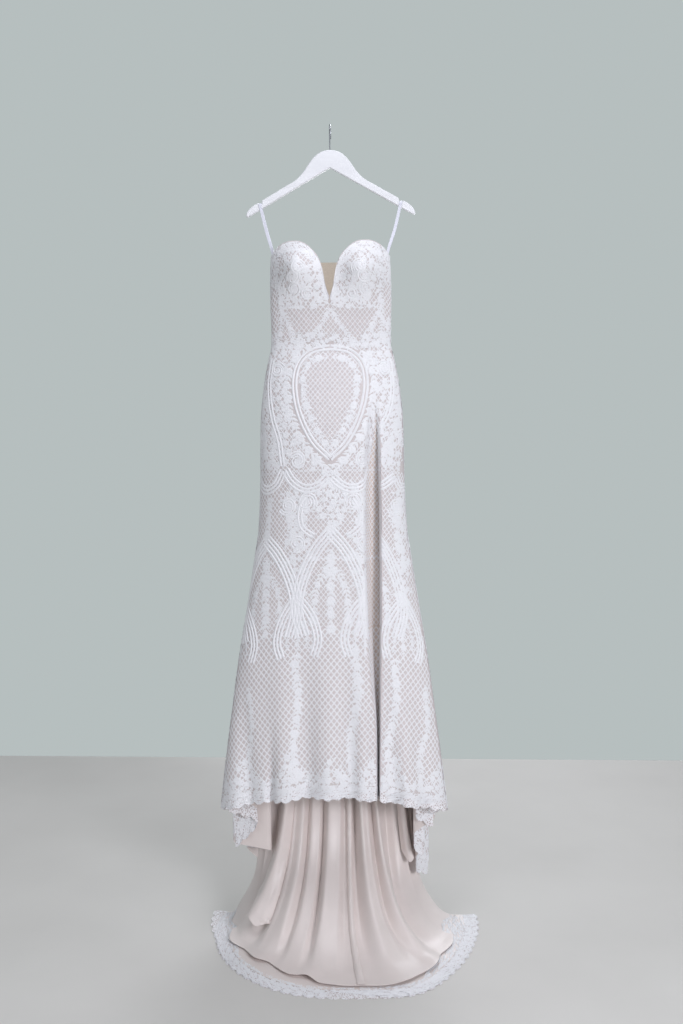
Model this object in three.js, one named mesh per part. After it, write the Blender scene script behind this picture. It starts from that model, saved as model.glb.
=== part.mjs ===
// A strapless lace wedding dress with a sweetheart neck, a trumpet skirt and a train, hung by its ribbon
// loops on a white wooden hanger. Millimetres, +Z up, the front faces -Y. Inside the dress group heights are
// measured up from the floor that the train lies on, and depths from the hanger's mid-plane. The outer group
// then moves it so that the origin is the point where the hanger's hook is held.
import * as THREE from "three";

// Driving sizes
const WAIST = 1555;
const BACK_TOP = 1764;
const FRONT_HEM = 434;
const FRONT_HEM_DROP = 54;
const BACK_SEAM_END = 158;
const SEAM_GAP = 0.3;
const SKIRT_SEAM_GAP = 0.5;
const LACE_WALL = 2;
const CUP_WALL = 3;
const LINING_WALL = 1.4;
const LINING_GAP = 4;
const LINING_SEAT = 0.9;
const BORDER_WALL = 1;
const BORDER_GAP = 0.5;
const STEEP_BORDER_GAP = 2.9;
const BORDER_DEPTH = 40;
const SCALLOP_DEPTH = 9;

const HANGER = {
  halfWidth: 219,
  thickness: 12,
  peak: 2045,
  fork: 2000,
  arm: 21,
  tipTop: 1890,
  tipBottom: 1879,
};
const NOTCH = { x: 182, width: 11, depth: 3 };
const HOOK = { wire: 3.4, radius: 18, seat: 2112, tail: 14, sides: 8, steps: 20 };
const LOOP = { width: 7, thickness: 1.2, inside: 28, spread: 5, inset: 5.5 };

// Rings of the tube from knee flare to bust: half width, depth of the front, of the side and of the back
const RINGS = [
  { height: 300, halfWidth: 303, front: -192, side: -100, back: 34 },
  { height: 390, halfWidth: 291, front: -183, side: -93, back: 34 },
  { height: 500, halfWidth: 278, front: -172, side: -82, back: 34 },
  { height: 615, halfWidth: 263, front: -161, side: -70, back: 34 },
  { height: 735, halfWidth: 247, front: -150, side: -57, back: 34 },
  { height: 886, halfWidth: 222, front: -136, side: -42, back: 34 },
  { height: 982, halfWidth: 207, front: -128, side: -34, back: 34 },
  { height: 1060, halfWidth: 195, front: -122, side: -28, back: 34 },
  { height: 1186, halfWidth: 188, front: -117, side: -24, back: 33 },
  { height: 1303, halfWidth: 186, front: -112, side: -24, back: 33 },
  { height: 1364, halfWidth: 184, front: -105, side: -23, back: 32 },
  { height: 1437, halfWidth: 176, front: -90, side: -22, back: 30 },
  { height: 1500, halfWidth: 165, front: -75, side: -20, back: 27 },
  { height: 1555, halfWidth: 154, front: -62, side: -18, back: 24 },
  { height: 1610, halfWidth: 155, front: -66, side: -19, back: 25 },
  { height: 1655, halfWidth: 156, front: -72, side: -21, back: 26 },
  { height: 1735, halfWidth: 154, front: -80, side: -23, back: 27 },
  { height: 1810, halfWidth: 149, front: -68, side: -24, back: 27 },
];

// Sweetheart top edge and the seam under the cup, from the centre front to the princess seam
const NECKLINE = [
  { x: 1.2, top: 1668, under: 1650 },
  { x: 10, top: 1696, under: 1647 },
  { x: 15, top: 1726, under: 1645 },
  { x: 21, top: 1749, under: 1643 },
  { x: 31, top: 1770, under: 1641 },
  { x: 47, top: 1788, under: 1639 },
  { x: 63, top: 1801, under: 1638 },
  { x: 80, top: 1807, under: 1639 },
  { x: 97, top: 1808, under: 1642 },
  { x: 114, top: 1805, under: 1647 },
  { x: 130, top: 1797, under: 1654 },
];
// Top edge of the side and back panels, by angle from the centre front
const SIDE_TOP = [
  { angle: 57, top: 1797 },
  { angle: 68, top: 1786 },
  { angle: 80, top: 1775 },
  { angle: 100, top: 1768 },
  { angle: 130, top: 1765 },
  { angle: 180, top: BACK_TOP },
];
const CUP = { x: 84, height: 1736, spreadX: 44, spreadZ: 50, reach: 42 };
const BACK_PANEL_ANGLE = 125;

// The deep fold down the front: its line, the run of its two sides, and its depth
const PLEAT = [
  { height: 300, x: 119, left: 15, right: 7, depth: 52 },
  { height: 650, x: 121, left: 24, right: 7, depth: 56 },
  { height: 850, x: 123, left: 40, right: 7, depth: 58 },
  { height: 1050, x: 123, left: 50, right: 7, depth: 54 },
  { height: 1250, x: 120, left: 46, right: 8, depth: 34 },
  { height: 1420, x: 115, left: 32, right: 9, depth: 3 },
  { height: 1500, x: 113, left: 24, right: 9, depth: 0 },
  { height: 1560, x: 112, left: 20, right: 9, depth: 0 },
];

// Folds of the side panels at the hem, from the front panel to the back panel
const SIDE_FOLDS = {
  left: [
    { x: -212, y: -84, hem: 332 },
    { x: -270, y: -67, hem: 246 },
    { x: -196, y: -57, hem: 214 },
    { x: -258, y: 18, hem: 176 },
  ],
  right: [
    { x: 216, y: -89, hem: 356 },
    { x: 266, y: -79, hem: 314 },
    { x: 174, y: -70, hem: 256 },
    { x: 243, y: -59, hem: 226 },
    { x: 203, y: -50, hem: 200 },
    { x: 257, y: 16, hem: 172 },
  ],
};
const FOLDS_START = 850;
const FOLDS_FULL = 330;

// The back panel as it falls and swings forward: half width, depth at its centre and at its edges
const BACK_FALL = [
  { height: 1555, halfWidth: 122, centre: 24, edge: 8 },
  { height: 1300, halfWidth: 149, centre: 33, edge: 10 },
  { height: 1000, halfWidth: 170, centre: 34, edge: 10 },
  { height: 700, halfWidth: 198, centre: 34, edge: 10 },
  { height: 560, halfWidth: 206, centre: 34, edge: 11 },
  { height: 450, halfWidth: 211, centre: 32, edge: 12 },
  { height: 350, halfWidth: 217, centre: 24, edge: 14 },
  { height: 270, halfWidth: 224, centre: 8, edge: 16 },
  { height: 200, halfWidth: 231, centre: -18, edge: 17 },
  { height: 140, halfWidth: 239, centre: -55, edge: 17 },
  { height: 90, halfWidth: 249, centre: -105, edge: 16 },
  { height: 40, halfWidth: 268, centre: -178, edge: 13 },
];
const FALL_SPAN = 80;
const FALL_BLEND = { from: 760, to: 430 };
const TRAIN = { low: 40, centreY: 20, span: 91 };

// Reach of the train on the floor by direction: the lace layer and the shorter lining
const TRAIN_REACH = [
  { turn: -1, lace: 343 - BORDER_DEPTH, lining: 296 },
  { turn: -0.75, lace: 348 - BORDER_DEPTH, lining: 298 },
  { turn: -0.55, lace: 377 - BORDER_DEPTH, lining: 316 },
  { turn: -0.35, lace: 411 - BORDER_DEPTH, lining: 330 },
  { turn: -0.1, lace: 441 - BORDER_DEPTH, lining: 368 },
  { turn: 0.12, lace: 450 - BORDER_DEPTH, lining: 398 },
  { turn: 0.3, lace: 471 - BORDER_DEPTH, lining: 410 },
  { turn: 0.5, lace: 436 - BORDER_DEPTH, lining: 376 },
  { turn: 0.75, lace: 399 - BORDER_DEPTH, lining: 336 },
  { turn: 1, lace: 382 - BORDER_DEPTH, lining: 318 },
];
// Soft folds of the train lining, each a ridge that fans out from under the front hem
const LINING_FOLDS = [
  { turn: -0.58, spread: 0.07, rise: 12 },
  { turn: -0.34, spread: 0.09, rise: 11 },
  { turn: -0.1, spread: 0.1, rise: 14 },
  { turn: 0.3, spread: 0.08, rise: 16 },
  { turn: 0.47, spread: 0.06, rise: 13 },
  { turn: 0.63, spread: 0.07, rise: 11 },
];
const LINING = { top: 470, reach: 0.75, seam: 0.13, step: 0.0625, tape: 9 };
const PLACKET = { width: 18, bottom: 1330, wall: 1.2 };

// Colours and finishes
const FINISHES = {
  lace: { color: 0xe9e4e8, roughness: 0.8, metalness: 0 },
  border: { color: 0xf3f0f2, roughness: 0.85, metalness: 0 },
  satin: { color: 0xd9cbc6, roughness: 0.45, metalness: 0 },
  ribbon: { color: 0xe8e8f2, roughness: 0.6, metalness: 0 },
  paintedWood: { color: 0xf0eff4, roughness: 0.5, metalness: 0 },
  steel: { color: 0xb9bcc0, roughness: 0.3, metalness: 1 },
};
const materials = Object.fromEntries(
  Object.entries(FINISHES).map(([name, finish]) => [name, new THREE.MeshStandardMaterial(finish)]),
);

const dress = new THREE.Group();

function addPiece(name, geometry, material) {
  const mesh = new THREE.Mesh(geometry, material);
  mesh.name = name;
  dress.add(mesh);
}

// Reading tables

// A column of a table at a key value, on a smooth curve through its rows
function read(table, key, value, column) {
  const ascending = table[table.length - 1][key] > table[0][key];
  const rows = ascending ? table : [...table].reverse();
  const clamped = THREE.MathUtils.clamp(value, rows[0][key], rows[rows.length - 1][key]);
  let i = 0;
  while (i < rows.length - 2 && clamped > rows[i + 1][key]) i += 1;
  const slope = (a, b) => (b[column] - a[column]) / (b[key] - a[key]);
  const span = rows[i + 1][key] - rows[i][key];
  const t = (clamped - rows[i][key]) / span;
  const here = slope(rows[i], rows[i + 1]);
  const before = i > 0 ? slope(rows[i - 1], rows[i]) : here;
  const after = i + 2 < rows.length ? slope(rows[i + 1], rows[i + 2]) : here;
  const start = before * here > 0 ? (2 * before * here) / (before + here) : 0;
  const end = after * here > 0 ? (2 * after * here) / (after + here) : 0;
  const t2 = t * t;
  const t3 = t2 * t;
  return (
    rows[i][column] * (2 * t3 - 3 * t2 + 1) +
    rows[i + 1][column] * (3 * t2 - 2 * t3) +
    span * (start * (t3 - 2 * t2 + t) + end * (t3 - t2))
  );
}

const sineOf = (degrees) => Math.sin(THREE.MathUtils.degToRad(degrees));
const cosineOf = (degrees) => Math.cos(THREE.MathUtils.degToRad(degrees));
const angleOf = (sine) => THREE.MathUtils.radToDeg(Math.asin(THREE.MathUtils.clamp(sine, -1, 1)));

// Walls of cloth, made from grids of points: grid[column][row]

// Outward normals of a grid, from the cells that exist round each point
function gridNormals(grid) {
  const normals = grid.map((column) => column.map(() => new THREE.Vector3()));
  const across = new THREE.Vector3();
  const down = new THREE.Vector3();
  for (let c = 0; c + 1 < grid.length; c += 1) {
    for (let r = 0; r + 1 < grid[c].length; r += 1) {
      const [a, b, d, e] = [grid[c][r], grid[c + 1][r], grid[c][r + 1], grid[c + 1][r + 1]];
      if (!a || !b || !d || !e) continue;
      across.copy(b).add(e).sub(a).sub(d);
      down.copy(d).add(e).sub(a).sub(b);
      const normal = down.clone().cross(across).normalize();
      const corners = [normals[c][r], normals[c + 1][r], normals[c][r + 1], normals[c + 1][r + 1]];
      corners.forEach((corner) => corner.add(normal));
    }
  }
  normals.forEach((column) => column.forEach((n) => n.normalize()));
  return normals;
}

// Moves each end of a line of points a little towards its neighbour, which opens the seam there
function openEnds(line, gapAtStart, gapAtEnd) {
  const moved = line.map((point) => point.clone());
  const last = line.length - 1;
  const pull = (from, to, gap) => {
    const toward = line[to].clone().sub(line[from]).normalize();
    moved[from].addScaledVector(toward, gap);
  };
  if (gapAtStart) pull(0, 1, gapAtStart);
  if (gapAtEnd) pull(last, last - 1, gapAtEnd);
  return moved;
}

// A rectangular cut of a grid with half a seam's gap off the edges named in open
function cutPanel(grid, normals, [firstColumn, lastColumn], [firstRow, lastRow], open = {}, gap = SEAM_GAP) {
  const half = gap / 2;
  const cutOut = (face) =>
    face.slice(firstColumn, lastColumn + 1).map((column) => column.slice(firstRow, lastRow + 1));
  const upright = cutOut(grid).map((column) => openEnds(column, open.top && half, open.bottom && half));
  const points = upright.map(() => []);
  upright[0].forEach((_, r) => {
    const row = upright.map((column) => column[r]);
    openEnds(row, open.start && half, open.end && half).forEach((point, c) => points[c].push(point));
  });
  return { points, normals: cutOut(normals) };
}

// The second face of a wall, moved along the normals; a level edge stays level
function movedFace({ points, normals }, distance, levelTop = false) {
  return points.map((column, c) =>
    column.map((point, r) => {
      const direction = normals[c][r].clone();
      if (levelTop && r === 0) direction.setZ(0).normalize();
      return point.clone().addScaledVector(direction, distance);
    }),
  );
}

// A closed wall between an outer and an inner grid of the same size
function wallGeometry(outer, inner) {
  const columns = outer.length;
  const rows = outer[0].length;
  const positions = [];
  [...outer, ...inner].flat().forEach((point) => positions.push(point.x, point.y, point.z));
  const index = [];
  const id = (face, c, r) => face * columns * rows + c * rows + r;
  const quad = (a, b, c, d) => index.push(a, b, c, a, c, d);
  for (let c = 0; c + 1 < columns; c += 1) {
    for (let r = 0; r + 1 < rows; r += 1) {
      quad(id(0, c, r), id(0, c, r + 1), id(0, c + 1, r + 1), id(0, c + 1, r));
      quad(id(1, c, r), id(1, c + 1, r), id(1, c + 1, r + 1), id(1, c, r + 1));
    }
    quad(id(0, c, 0), id(0, c + 1, 0), id(1, c + 1, 0), id(1, c, 0));
    quad(id(0, c + 1, rows - 1), id(0, c, rows - 1), id(1, c, rows - 1), id(1, c + 1, rows - 1));
  }
  for (let r = 0; r + 1 < rows; r += 1) {
    quad(id(0, 0, r + 1), id(0, 0, r), id(1, 0, r), id(1, 0, r + 1));
    quad(id(0, columns - 1, r), id(0, columns - 1, r + 1), id(1, columns - 1, r + 1), id(1, columns - 1, r));
  }
  const geometry = new THREE.BufferGeometry();
  geometry.setAttribute("position", new THREE.Float32BufferAttribute(positions, 3));
  geometry.setIndex(index);
  geometry.computeVertexNormals();
  return geometry;
}

const panelWall = (panel, wall, levelTop) => wallGeometry(panel.points, movedFace(panel, -wall, levelTop));

// The tube of the dress

const ringValue = (height, column) => read(RINGS, "height", height, column);

// A point of the tube by its angle from the centre front
function tubePoint(angle, height) {
  const side = ringValue(height, "side");
  const reach = ringValue(height, cosineOf(angle) > 0 ? "front" : "back") - side;
  const x = ringValue(height, "halfWidth") * sineOf(angle);
  return new THREE.Vector3(x, side + reach * Math.abs(cosineOf(angle)), height);
}

// The bodice is the tube with two rounded cups
function bodicePoint(angle, height) {
  const point = tubePoint(angle, height);
  if (cosineOf(angle) > 0) {
    const aside = (Math.abs(point.x) - CUP.x) / CUP.spreadX;
    const above = (height - CUP.height) / CUP.spreadZ;
    point.y -= CUP.reach * Math.exp(-aside * aside - above * above);
  }
  return point;
}

// Bodice

const bodiceAngle = (x, height) => angleOf(x / ringValue(height, "halfWidth"));
const princess = NECKLINE[NECKLINE.length - 1];
const MIDRIFF_ROWS = 3;
const CUP_ROWS = 7;

function spacedHeights(from, to, steps) {
  return Array.from({ length: steps + 1 }, (_, i) => THREE.MathUtils.lerp(from, to, i / steps));
}

function addBodiceFront() {
  const columns = [...NECKLINE].reverse().map((edge) => ({ ...edge, x: -edge.x })).concat(NECKLINE);
  const pointAt = (x, height) => bodicePoint(bodiceAngle(x, height), height);
  const columnAt = (x, from, to, steps) => spacedHeights(from, to, steps).map((height) => pointAt(x, height));
  const cups = columns.map(({ x, top, under }) => columnAt(x, top, under, CUP_ROWS));
  const below = columns.map(({ x, under }) => columnAt(x, under, WAIST, MIDRIFF_ROWS));
  const whole = cups.map((column, c) => column.concat(below[c].slice(1)));
  const normals = gridNormals(whole);
  const half = NECKLINE.length;
  const last = columns.length - 1;
  const cupEdges = { start: true, end: true, bottom: true };
  const left = cutPanel(whole, normals, [0, half - 1], [0, CUP_ROWS], cupEdges);
  const right = cutPanel(whole, normals, [half, last], [0, CUP_ROWS], cupEdges);
  addPiece("bodice_cup_left", panelWall(left, CUP_WALL), materials.lace);
  addPiece("bodice_cup_right", panelWall(right, CUP_WALL), materials.lace);
  const midriffRows = [CUP_ROWS, CUP_ROWS + MIDRIFF_ROWS];
  const midriff = cutPanel(whole, normals, [0, last], midriffRows, { start: true, end: true, top: true });
  liftLowerEdge(midriff);
  addPiece("bodice_midriff", panelWall(midriff, LACE_WALL), materials.lace);
}

// The bodice stands half a seam's gap above the waist, with a level lower edge
function liftLowerEdge({ points, normals }) {
  const last = points[0].length - 1;
  points.forEach((column, c) => {
    column[last].z = WAIST + SEAM_GAP / 2;
    normals[c][last].setZ(0).normalize();
  });
}

// Side and back panels share rows with the front, so that the princess seams meet
function bodiceSideColumn(angle) {
  const top = read(SIDE_TOP, "angle", Math.abs(angle), "top");
  const heights = spacedHeights(top, princess.under, CUP_ROWS);
  const lower = spacedHeights(princess.under, WAIST, MIDRIFF_ROWS).slice(1);
  return heights.concat(lower).map((height) => {
    const front = bodiceAngle(princess.x, height) * Math.sign(angle);
    const share = (Math.abs(angle) - SIDE_TOP[0].angle) / (180 - SIDE_TOP[0].angle);
    return bodicePoint(THREE.MathUtils.lerp(front, 180 * Math.sign(angle), share), height);
  });
}

function addBodiceSides() {
  const start = SIDE_TOP[0].angle;
  const angles = [start, 63, 70, 78, 87, 97, 110, BACK_PANEL_ANGLE, 140, 155, 168, 180];
  const seam = angles.indexOf(BACK_PANEL_ANGLE);
  const rows = [0, CUP_ROWS + MIDRIFF_ROWS];
  for (const [name, sign] of [["left", -1], ["right", 1]]) {
    const order = sign < 0 ? [...angles].reverse() : angles;
    const grid = order.map((angle) => bodiceSideColumn(sign * angle));
    const normals = gridNormals(grid);
    const last = angles.length - 1;
    const ranges = { side: [0, seam], back: [seam, last] };
    for (const [panelName, [from, to]] of Object.entries(ranges)) {
      const range = sign < 0 ? [last - to, last - from] : [from, to];
      const panel = cutPanel(grid, normals, range, rows, { start: true, end: true });
      liftLowerEdge(panel);
      addPiece(`bodice_${panelName}_${name}`, panelWall(panel, LACE_WALL), materials.lace);
    }
  }
}

// Skirt

const ROW_SHARES = [0, 0.05, 0.11, 0.19, 0.28, 0.38, 0.49, 0.59, 0.68, 0.77, 0.86, 0.94, 1];
const LAST_ROW = ROW_SHARES.length - 1;
const FRONT_EDGE_ANGLE = 83;
const SIDE_STEPS = 3;
const BACK_TURNS = [1, 0.9, 0.76, 0.6, 0.44, 0.28, 0.13, 0];
const FLOOR_SHARES = [0.22, 0.48, 0.76, 1];
const FALL_HEIGHTS = [118, 84, 58, TRAIN.low];
const LEFT_FRONT_ANGLES = [83, 76, 68, 59, 49, 39, 29, 19, 9, 0];
const PLEAT_SHARES = [-1, -0.5, -0.15, 0, 0.5, 1];
const RIGHT_FRONT_SHARES = [0.2, 0.4, 0.6, 0.8, 1];

const heightAt = (hem, share) => THREE.MathUtils.lerp(WAIST, hem, share);
const frontHem = (angle) => FRONT_HEM - FRONT_HEM_DROP * sineOf(angle) ** 2;
const pleatValue = (height, column) => read(PLEAT, "height", height, column);

// How deep the front fold is at a share of the run of its left or right side
function pleatDepth(share, height) {
  return pleatValue(height, "depth") * (0.5 + 0.5 * Math.cos(Math.PI * share));
}

function frontPointAtX(x, height, share = 1) {
  const point = tubePoint(angleOf(x / ringValue(height, "halfWidth")), height);
  point.y += pleatDepth(share, height);
  return point;
}

// Columns of the front panel: each gives its point at a height, and its hem
function frontColumns() {
  const left = LEFT_FRONT_ANGLES.map((angle) => ({
    hem: frontHem(angle),
    at: (height) => tubePoint(-angle, height),
  }));
  const pleat = PLEAT_SHARES.map((share) => {
    const offset = (height) => share * pleatValue(height, share < 0 ? "left" : "right");
    const x = (height) => pleatValue(height, "x") + offset(height);
    return {
      hem: frontHem(angleOf(x(FRONT_HEM) / ringValue(FRONT_HEM, "halfWidth"))),
      at: (height) => frontPointAtX(x(height), height, Math.abs(share)),
    };
  });
  const angleAtShare = (from, share) => THREE.MathUtils.lerp(from, FRONT_EDGE_ANGLE, share);
  const startAngle = (height) =>
    angleOf((pleatValue(height, "x") + pleatValue(height, "right")) / ringValue(height, "halfWidth"));
  const right = RIGHT_FRONT_SHARES.map((share) => ({
    hem: frontHem(angleAtShare(startAngle(FRONT_HEM), share)),
    at: (height) => tubePoint(angleAtShare(startAngle(height), share), height),
  }));
  const betweenAngle = (height) => {
    const edge = pleatValue(height, "x") - pleatValue(height, "left");
    return angleOf(edge / ringValue(height, "halfWidth")) / 2;
  };
  const between = {
    hem: frontHem(betweenAngle(FRONT_HEM)),
    at: (height) => tubePoint(betweenAngle(height), height),
  };
  return [...left, between, ...pleat, ...right];
}

// The back panel on its way from the tube to the floor, by turn from -1 at its left edge to 1 at its right
function fallPoint(turn, height) {
  const value = (column) => read(BACK_FALL, "height", height, column);
  const x = (value("halfWidth") * sineOf(FALL_SPAN * turn)) / sineOf(FALL_SPAN);
  const bow = (cosineOf(FALL_SPAN * turn) - cosineOf(FALL_SPAN)) / (1 - cosineOf(FALL_SPAN));
  const fallen = THREE.MathUtils.lerp(value("edge"), value("centre"), bow);
  const tubeY = tubePoint(180 - angleOf(x / ringValue(height, "halfWidth")), height).y;
  const blend = 1 - THREE.MathUtils.smoothstep(height, FALL_BLEND.to, FALL_BLEND.from);
  return new THREE.Vector3(x, THREE.MathUtils.lerp(tubeY, fallen, blend), height);
}

// The train on the floor, from where it lands out to its hem
function trainPoint(turn, share, layer) {
  const start = fallPoint(turn, TRAIN.low);
  const reach = read(TRAIN_REACH, "turn", turn, layer);
  const x = reach * sineOf(TRAIN.span * turn);
  const y = TRAIN.centreY - reach * cosineOf(TRAIN.span * turn);
  const height = TRAIN.low * (1 - share) ** 2;
  return new THREE.Vector3(
    THREE.MathUtils.lerp(start.x, x, share),
    THREE.MathUtils.lerp(start.y, y, share),
    height,
  );
}

// Columns of a side panel, folded on a smooth line between the front panel and the back panel
function sideColumns(folds, sign) {
  const corners = folds.length + 3;
  const cornerAt = (i, height) => {
    const start = tubePoint(sign * FRONT_EDGE_ANGLE, height);
    const end = fallPoint(sign, height);
    if (i === 0) return start;
    if (i === corners - 1) return end;
    const endAngle = 180 - angleOf(Math.abs(end.x) / ringValue(height, "halfWidth"));
    const angle = THREE.MathUtils.lerp(90, endAngle, (i - 1) / (corners - 2));
    const smooth = tubePoint(sign * angle, height);
    if (i === 1) return smooth;
    const folded = new THREE.Vector3(folds[i - 2].x, folds[i - 2].y, height);
    return smooth.lerp(folded, 1 - THREE.MathUtils.smoothstep(height, FOLDS_FULL, FOLDS_START));
  };
  const hems = [frontHem(FRONT_EDGE_ANGLE), frontHem(90), ...folds.map((fold) => fold.hem), BACK_SEAM_END];
  const steps = (corners - 1) * SIDE_STEPS;
  return Array.from({ length: steps + 1 }, (_, i) => {
    const place = Math.min(i / SIDE_STEPS, corners - 1 - 1e-9);
    const corner = Math.floor(place);
    const hem = THREE.MathUtils.lerp(hems[corner], hems[corner + 1], place - corner);
    const at = (height) => {
      const line = Array.from({ length: corners }, (__, k) => cornerAt(k, height));
      return new THREE.CatmullRomCurve3(line, false, "centripetal").getPoint(i / steps);
    };
    return { hem, at };
  });
}

// Columns of half of the back panel, with the train's rows below the rows of the tube
function backColumns(turns) {
  return turns.map((turn) => ({
    hem: BACK_SEAM_END,
    at: (height) => fallPoint(turn, height),
    train: [
      ...FALL_HEIGHTS.map((height) => fallPoint(turn, height)),
      ...FLOOR_SHARES.map((share) => trainPoint(turn, share, "lace")),
    ],
  }));
}

function addSkirt() {
  const backLeft = backColumns([...BACK_TURNS].reverse().map((turn) => -turn));
  const sideLeft = sideColumns(SIDE_FOLDS.left, -1).reverse();
  const front = frontColumns();
  const sideRight = sideColumns(SIDE_FOLDS.right, 1);
  const backRight = backColumns(BACK_TURNS);
  const runs = [backLeft, sideLeft, front, sideRight, backRight];
  const names = ["skirt_back_left", "skirt_side_left", "skirt_front", "skirt_side_right", "skirt_back_right"];
  const columns = joinRuns(runs);
  const trainRows = FALL_HEIGHTS.length + FLOOR_SHARES.length;
  const grid = columns.map((column) => {
    const hanging = ROW_SHARES.map((share) => column.at(heightAt(column.hem, share)));
    return hanging.concat(column.train ?? new Array(trainRows).fill(undefined));
  });
  const normals = gridNormals(grid);
  let from = 0;
  runs.forEach((run, i) => {
    const to = from + run.length - 1;
    const bottom = run[1].train ? LAST_ROW + trainRows : LAST_ROW;
    const edges = { start: true, end: true };
    const panel = cutPanel(grid, normals, [from, to], [0, bottom], edges, SKIRT_SEAM_GAP);
    panel.points.forEach((column) => (column[0].z = WAIST - SEAM_GAP / 2));
    addPiece(names[i], panelWall(panel, LACE_WALL, true), materials.lace);
    const bordered = borderRange(names[i], run.length - 1);
    const strip = (face) => face.slice(bordered[0], bordered[1] + 1);
    const backs = movedFace(panel, -BORDER_WALL);
    const gap = names[i].includes("side") ? STEEP_BORDER_GAP : BORDER_GAP;
    addBorder(names[i].replace("skirt", "hem_lace"), strip(panel.points), strip(backs), gap);
    from = to;
  });
  return { grid, normals };
}

// One line of columns, with the column at each seam shared by the two panels beside it
function joinRuns(runs) {
  const columns = [...runs[0]];
  runs.slice(1).forEach((run) => {
    const shared = columns.pop();
    columns.push({ ...shared, train: shared.train ?? run[0].train }, ...run.slice(1));
  });
  return columns;
}

// A side panel's border stops at its last inner fold, where the back panel hangs close behind
function borderRange(name, last) {
  if (name === "skirt_side_left") return [2 * SIDE_STEPS, last];
  if (name === "skirt_side_right") return [0, last - 2 * SIDE_STEPS];
  return [0, last];
}

// Scalloped lace border that carries a panel on below its lower edge
function addBorder(name, outer, inner, gap) {
  const last = outer[0].length - 1;
  const steps = 2;
  const lower = (face, c) => face[c][last];
  const onward = (face, c) => {
    const direction = lower(face, c).clone().sub(face[c][last - 1]);
    if (lower(face, c).z < LACE_WALL) direction.setZ(0);
    return direction.normalize();
  };
  const strip = [outer, inner].map((face) => {
    const columns = [];
    for (let c = 0; c < face.length; c += 1) {
      const parts = c + 1 < face.length ? steps : 1;
      for (let k = 0; k < parts; k += 1) {
        const next = Math.min(c + 1, face.length - 1);
        const edge = lower(face, c).clone().lerp(lower(face, next), k / steps);
        const along = onward(outer, c).lerp(onward(outer, next), k / steps).normalize();
        const reach = BORDER_DEPTH - (k % 2 === 0 ? SCALLOP_DEPTH : 0);
        const start = edge.clone().addScaledVector(along, gap);
        columns.push([start, edge.clone().addScaledVector(along, reach)]);
      }
    }
    return columns;
  });
  addPiece(name, wallGeometry(strip[0], strip[1]), materials.border);
}

// Train lining

// How far the lining stands off the lace: sewn to it along its top, then free, with its folds
function liningRise(turn, height) {
  const free = THREE.MathUtils.smoothstep(LINING.top - height, 0, 160);
  const ridge = ({ turn: at, spread, rise }) => rise * Math.exp(-(((turn - at) / spread) ** 2));
  return LINING_SEAT + free * LINING_FOLDS.reduce((sum, fold) => sum + ridge(fold), LINING_GAP);
}

// The lining's outer face, which lies on the inside of the lace
function liningColumn(turn) {
  const heights = [LINING.top, 400, 330, 265, 205, 150, 105, 70, TRAIN.low];
  const fallen = heights.map((height) => fallPoint(turn, height));
  return fallen.concat(FLOOR_SHARES.map((share) => trainPoint(turn, share, "lining")));
}

function addLining() {
  const count = Math.round((2 * LINING.reach) / LINING.step);
  const turns = Array.from({ length: count + 1 }, (_, i) => LINING.reach - (i * 2 * LINING.reach) / count);
  const seam = turns.reduce((best, turn, i) => {
    return Math.abs(turn - LINING.seam) < Math.abs(turns[best] - LINING.seam) ? i : best;
  }, 0);
  const base = turns.map(liningColumn);
  const baseNormals = gridNormals(base);
  const raised = base.map((column, c) =>
    column.map((point, r) => {
      const rise = LACE_WALL + liningRise(turns[c], point.z);
      return point.clone().addScaledVector(baseNormals[c][r], -rise);
    }),
  );
  const normals = gridNormals(raised);
  const rows = [0, raised[0].length - 1];
  const right = cutPanel(raised, normals, [0, seam], rows, { end: true });
  const left = cutPanel(raised, normals, [seam, count], rows, { start: true });
  addPiece("train_lining_left", panelWall(left, LINING_WALL), materials.satin);
  addPiece("train_lining_right", panelWall(right, LINING_WALL), materials.satin);
  addSeamTape(raised, normals, seam);
}

// The seam allowance that stands on the lining along its centre seam
function addSeamTape(grid, normals, seam) {
  const first = 1;
  const onLining = [-1, 1].map((side) =>
    grid[seam].slice(first).map((point, i) => {
      const r = i + first;
      const toward = grid[seam + side][r].clone().sub(point).setLength(LINING.tape / 2);
      return point.clone().add(toward).addScaledVector(normals[seam][r], -(LINING_WALL + SEAM_GAP * 3));
    }),
  );
  const upper = onLining.map((line) =>
    line.map((point, i) => point.clone().addScaledVector(normals[seam][i + first], -LINING_WALL)),
  );
  addPiece("train_lining_seam", wallGeometry(onLining, upper), materials.satin);
}

// Placket over the closed back opening, made from the points of the back panels, moved out
function addPlacket(skirt) {
  const half = PLACKET.width / 2;
  const bodice = [-1, 1].map((sign) => ({
    centre: bodiceSideColumn(180 * sign),
    next: bodiceSideColumn(168 * sign),
  }));
  const last = skirt.grid.length - 1;
  const hanging = skirt.grid[0].slice(0, LAST_ROW + 1);
  const skirtRows = [...hanging.keys()].filter((r) => hanging[r].z > PLACKET.bottom);
  const below = [
    { centre: skirt.grid[0], next: skirt.grid[1] },
    { centre: skirt.grid[last], next: skirt.grid[last - 1] },
  ];
  const lineAt = ({ centre, next }, rows) =>
    rows.map((r) => centre[r].clone().add(next[r].clone().sub(centre[r]).setLength(half)));
  const bodiceRows = bodice[0].centre.map((_, r) => r).slice(0, -1);
  const edges = [0, 1].map((i) => [...lineAt(bodice[i], bodiceRows), ...lineAt(below[i], skirtRows)]);
  const outward = new THREE.Vector3(0, 1, 0);
  const shifted = (line, distance) => line.map((point) => point.clone().addScaledVector(outward, distance));
  const under = [shifted(edges[1], SEAM_GAP * 2), shifted(edges[0], SEAM_GAP * 2)];
  const over = under.map((line) => shifted(line, PLACKET.wall));
  addPiece("back_placket", wallGeometry(over, under), materials.lace);
}

// Hanger, hook and loops

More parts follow.
